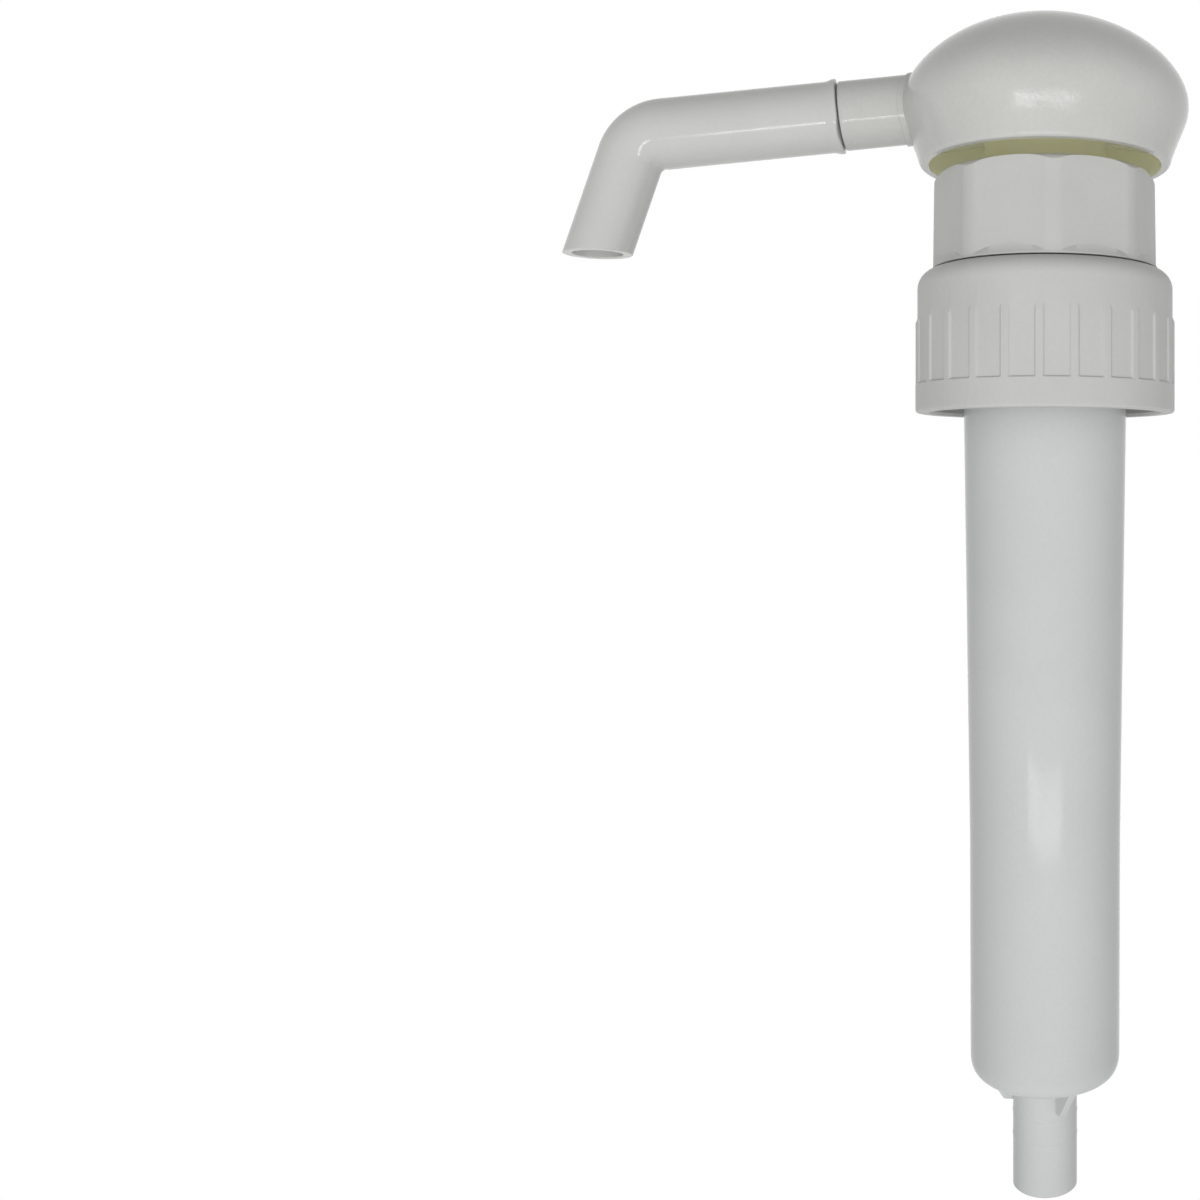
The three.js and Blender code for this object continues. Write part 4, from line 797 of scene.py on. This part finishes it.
# Stem guide: flanged bush in the barrel's mouth, clamped under the collar.
# White polypropylene with an inner tube for the stem and a seat for the wiper.
guide_low, guide_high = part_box("stem_guide")
GUIDE_BORE_R, GUIDE_WALL, GUIDE_PLUG_R, GUIDE_FLANGE_Z = 0.0067, 0.0018, 0.0134, 0.0128
GUIDE_WEB_Z, WIPER_SEAT_R, WIPER_SEAT_Z = 0.0103, 0.009, 0.0118
outline = [(GUIDE_BORE_R, guide_low.z), (GUIDE_BORE_R + GUIDE_WALL, guide_low.z),
           (GUIDE_BORE_R + GUIDE_WALL, GUIDE_WEB_Z), (GUIDE_PLUG_R - GUIDE_WALL, GUIDE_WEB_Z),
           (GUIDE_PLUG_R - GUIDE_WALL, guide_low.z), (GUIDE_PLUG_R, guide_low.z),
           (GUIDE_PLUG_R, GUIDE_FLANGE_Z),
           (guide_high.x, GUIDE_FLANGE_Z), (guide_high.x, guide_high.z), (WIPER_SEAT_R, guide_high.z),
           (WIPER_SEAT_R, WIPER_SEAT_Z), (GUIDE_BORE_R, WIPER_SEAT_Z)]
guide = piece("stem_guide_bush", turned(outline, 96), inner_plastic)
ease_edges(guide, EDGE_ROUNDING)
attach(guide, "housing")
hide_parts("stem_guide")

# Wiper ring: lip seal round the stem at the top of the guide.
# Soft, slightly grey elastomer with a groove behind the lip.
soft_elastomer = moulded("soft_elastomer", (0.52, 0.53, 0.50), (0.47, 0.48, 0.45), 0.55, 0.1,
                         (1, 1, 1), 0.00002, patches=70, specks=0.05)
wiper_low, wiper_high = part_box("wiper_ring")
WIPER_BORE_R, WIPER_LIP, WIPER_GROOVE = 0.0066, 0.0006, 0.0008
groove_z = wiper_high.z - WIPER_GROOVE
outline = [(WIPER_BORE_R, wiper_low.z), (wiper_high.x, wiper_low.z), (wiper_high.x, wiper_high.z),
           (WIPER_BORE_R + 2 * WIPER_LIP, wiper_high.z), (WIPER_BORE_R + 1.5 * WIPER_LIP, groove_z),
           (WIPER_BORE_R + WIPER_LIP, groove_z), (WIPER_BORE_R + WIPER_LIP / 2, wiper_high.z),
           (WIPER_BORE_R, wiper_high.z)]
wiper = piece("wiper_lip_seal", turned(outline, 64), soft_elastomer)
ease_edges(wiper, LIP_ROUNDING)
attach(wiper, "housing")
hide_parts("wiper_ring")

# Piston: carrier with a land above the cup seal and a hub inside it.
# White polypropylene, pressed on the stem's lower end.
piston_low, piston_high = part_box("piston")
SLEEVE_R, HUB_R, LAND_R, PISTON_LAND_Z = 0.0066, 0.0099, 0.0128, -0.0658
outline = [(SLEEVE_R, piston_low.z), (HUB_R, piston_low.z), (HUB_R, PISTON_LAND_Z), (LAND_R, PISTON_LAND_Z),
           (LAND_R, piston_high.z), (SLEEVE_R, piston_high.z)]
piston = piece("piston_carrier", turned(outline, 96), inner_plastic)
ease_edges(piston, EDGE_ROUNDING)
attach(piston, "plunger")
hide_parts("piston")

# Piston seal: soft cup with a wiping lip at each end, which runs in the barrel's bore.
# The same elastomer as the wiper.
cup_low, cup_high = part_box("piston_seal")
CUP_HOLE_R, CUP_R = 0.01, 0.01345
CUP_SHARES = ((0, 0), (0.4, 0), (0.55, 0.3), (0.78, 0.03), (1, 0.06), (0.76, 0.4), (0.76, 0.6), (1, 0.94),
              (0.78, 0.97), (0.55, 0.7), (0.4, 1), (0, 1))
outline = [(CUP_HOLE_R + across * (CUP_R - CUP_HOLE_R), cup_low.z + up * (cup_high.z - cup_low.z))
           for across, up in CUP_SHARES]
cup = piece("piston_cup_seal", turned(outline, 96), soft_elastomer)
ease_edges(cup, FINE_ROUNDING)
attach(cup, "plunger")
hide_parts("piston_seal")

# Piston nut: holds the piston on the stem and carries the cone that the discharge ball closes.
# White polypropylene.
nut_low, nut_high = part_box("piston_nut")
NUT_BORE_R, NUT_HUB_R, NUT_LAND_Z, NUT_SEAT_R = 0.0026, 0.0094, -0.0757, 0.0048
DISCHARGE_SEAT_Z, DISCHARGE_SEAT_DEPTH = -0.0801, 0.0022
outline = [(NUT_BORE_R, nut_low.z), (NUT_HUB_R, nut_low.z), (NUT_HUB_R, NUT_LAND_Z), (LAND_R, NUT_LAND_Z),
           (LAND_R, nut_high.z), (SLEEVE_R, nut_high.z), (SLEEVE_R, DISCHARGE_SEAT_Z),
           (NUT_SEAT_R, DISCHARGE_SEAT_Z), (NUT_BORE_R, DISCHARGE_SEAT_Z - DISCHARGE_SEAT_DEPTH)]
nut = piece("piston_nut_moulding", turned(outline, 96), inner_plastic)
ease_edges(nut, EDGE_ROUNDING)
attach(nut, "plunger")
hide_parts("piston_nut")

# Discharge cage: insert in the stem's chamber, a ring with two crossed bars above the ball.
# White polypropylene.
cage_low, cage_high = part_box("discharge_cage")
CAGE_RING_R, CAGE_RING_WALL, CAGE_BAR, CAGE_BAR_THICK = 0.0049, 0.00075, 0.0016, 0.0015
discharge_cage = ring(CAGE_RING_R - CAGE_RING_WALL, CAGE_RING_R, cage_low.z, cage_high.z, 64)
discharge_cage = piece("discharge_cage_insert", discharge_cage, inner_plastic)
bar_r = CAGE_RING_R - CAGE_RING_WALL / 2
bar_corners = [(-bar_r, cage_high.z - CAGE_BAR_THICK), (bar_r, cage_high.z - CAGE_BAR_THICK),
               (bar_r, cage_high.z), (-bar_r, cage_high.z)]
for turn in (0, math.pi / 2):
    combine(discharge_cage, plate(bar_corners, CAGE_BAR, turn), "UNION")
even_shading(discharge_cage)
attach(discharge_cage, "plunger")
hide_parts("discharge_cage")

# Spring cap: slip ring on top of the return spring, with a pilot inside its first turns.
# White polypropylene.
slip_low, slip_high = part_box("spring_cap")
PILOT_R, PILOT_BORE_R, SLIP_FOOT_Z = 0.00768, 0.00608, -0.0859
outline = [(PILOT_BORE_R, slip_low.z), (PILOT_R, slip_low.z), (PILOT_R, SLIP_FOOT_Z),
           (slip_high.x, SLIP_FOOT_Z), (slip_high.x, slip_high.z), (PILOT_BORE_R, slip_high.z)]
spring_cap = piece("spring_cap_ring", turned(outline, 96), inner_plastic)
ease_edges(spring_cap, EDGE_ROUNDING)
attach(spring_cap, "slip_ring")
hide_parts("spring_cap")

# Ball cage: windowed cage over the suction ball, whose flange also carries the return spring.
# White polypropylene, pressed on the barrel's floor.
basket_low, basket_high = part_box("ball_cage")
BASKET_R, BASKET_BORE_R, BASKET_FLANGE_Z, BASKET_ROOF_Z = 0.00768, 0.00658, -0.1499, -0.1413
WINDOW_WIDTH, WINDOW_POST = 0.005, 0.0012
outline = [(BASKET_BORE_R, basket_low.z), (basket_high.x, basket_low.z), (basket_high.x, BASKET_FLANGE_Z),
           (BASKET_R, BASKET_FLANGE_Z), (BASKET_R, basket_high.z), (0, basket_high.z),
           (0, BASKET_ROOF_Z), (BASKET_BORE_R, BASKET_ROOF_Z)]
basket = piece("ball_cage_moulding", turned(outline, 96), inner_plastic)
window = [(-BASKET_R - OVER, BASKET_FLANGE_Z + WINDOW_POST), (BASKET_R + OVER, BASKET_FLANGE_Z + WINDOW_POST),
          (BASKET_R + OVER, BASKET_ROOF_Z - WINDOW_POST), (-BASKET_R - OVER, BASKET_ROOF_Z - WINDOW_POST)]
for turn in (0, math.pi / 2):
    combine(basket, plate(window, WINDOW_WIDTH, turn), "DIFFERENCE")
ease_edges(basket, FINE_ROUNDING)
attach(basket, "housing")
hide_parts("ball_cage")

# Return spring: stainless wire between the ball cage's flange and the slip ring, closed at both ends.
# Drawn wire, coiled cold.
def bright_steel(name, roughness):
    """Bright stainless steel with fine marks and a thin film of handling."""
    material, tree = new_material(name)
    grain = group_node(tree, DRAW_GRAIN, {"Stretch": (1, 1, 1)})
    marks = group_node(tree, HANDLING, {"Roughness": roughness, "Wear": 0.12})
    tone = group_node(tree, MOULD_TONE, {"Colour": (0.60, 0.605, 0.61, 1), "Shade": (0.52, 0.525, 0.53, 1),
                                         "Patches": 80.0, "Speck Share": 0.02})
    bumped = place(tree, "Bump", {"Height": grain.outputs["Height"], "Distance": 0.000008, "Strength": 1})
    shader = place(tree, "BsdfPrincipled", {
        "Base Color": tone.outputs["Colour"], "Metallic": 1, "Roughness": marks.outputs["Roughness"],
        "Normal": bumped.outputs[0]})
    place(tree, "OutputMaterial", {"Surface": shader.outputs[0]})
    return material


WIRE_R, COIL_R, SPRING_TURNS, END_PITCH, SPRING_STEPS, SEAT_GAP = 0.0009, 0.0095, 12, 0.0025, 32, 0.0001
spring_low_z, spring_high_z = BASKET_FLANGE_Z + SEAT_GAP + WIRE_R, SLIP_FOOT_Z - SEAT_GAP - WIRE_R
open_pitch = (spring_high_z - spring_low_z - 2 * END_PITCH) / (SPRING_TURNS - 2)
bm = bmesh.new()
wire_stand = Matrix.Translation((COIL_R, 0, spring_low_z)) @ Matrix.Rotation(math.pi / 2, 4, "X")
bmesh.ops.create_circle(bm, cap_ends=True, segments=16, radius=WIRE_R, matrix=wire_stand)
coil_end = list(bm.faces)
for turns, lead in ((1, END_PITCH), (SPRING_TURNS - 2, open_pitch), (1, END_PITCH)):
    coil_start = coil_end
    coil = bmesh.ops.spin(bm, geom=coil_start, axis=(0, 0, 1), cent=(0, 0, 0),
                          dvec=(0, 0, lead / SPRING_STEPS), steps=turns * SPRING_STEPS,
                          angle=2 * math.pi * turns)
    coil_end = [g for g in coil["geom_last"] if isinstance(g, bmesh.types.BMFace)]
    # The face between two stretches lies inside the wire.
    if turns > 1 or coil_start[0].calc_center_median().z > spring_low_z + END_PITCH / 2:
        bmesh.ops.delete(bm, geom=coil_start, context="FACES_ONLY")
bmesh.ops.recalc_face_normals(bm, faces=bm.faces)
spring = piece("return_spring_wire", bm, bright_steel("spring_steel", 0.22))
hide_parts("return_spring")
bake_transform(spring)

# Valve balls: the suction ball over the spigot and the discharge ball in the stem.
# Ground and polished stainless steel.
ball_steel = bright_steel("ball_steel", 0.08)
for node, body in (("suction_ball", "lower_ball"), ("discharge_ball", "upper_ball")):
    ball_low, ball_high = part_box(node)
    bm = bmesh.new()
    bmesh.ops.create_uvsphere(bm, u_segments=48, v_segments=24, radius=(ball_high.z - ball_low.z) / 2,
                              matrix=Matrix.Translation((ball_low + ball_high) / 2))
    ball = piece(node + "_polished", bm, ball_steel)
    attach(ball, body)
    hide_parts(node)
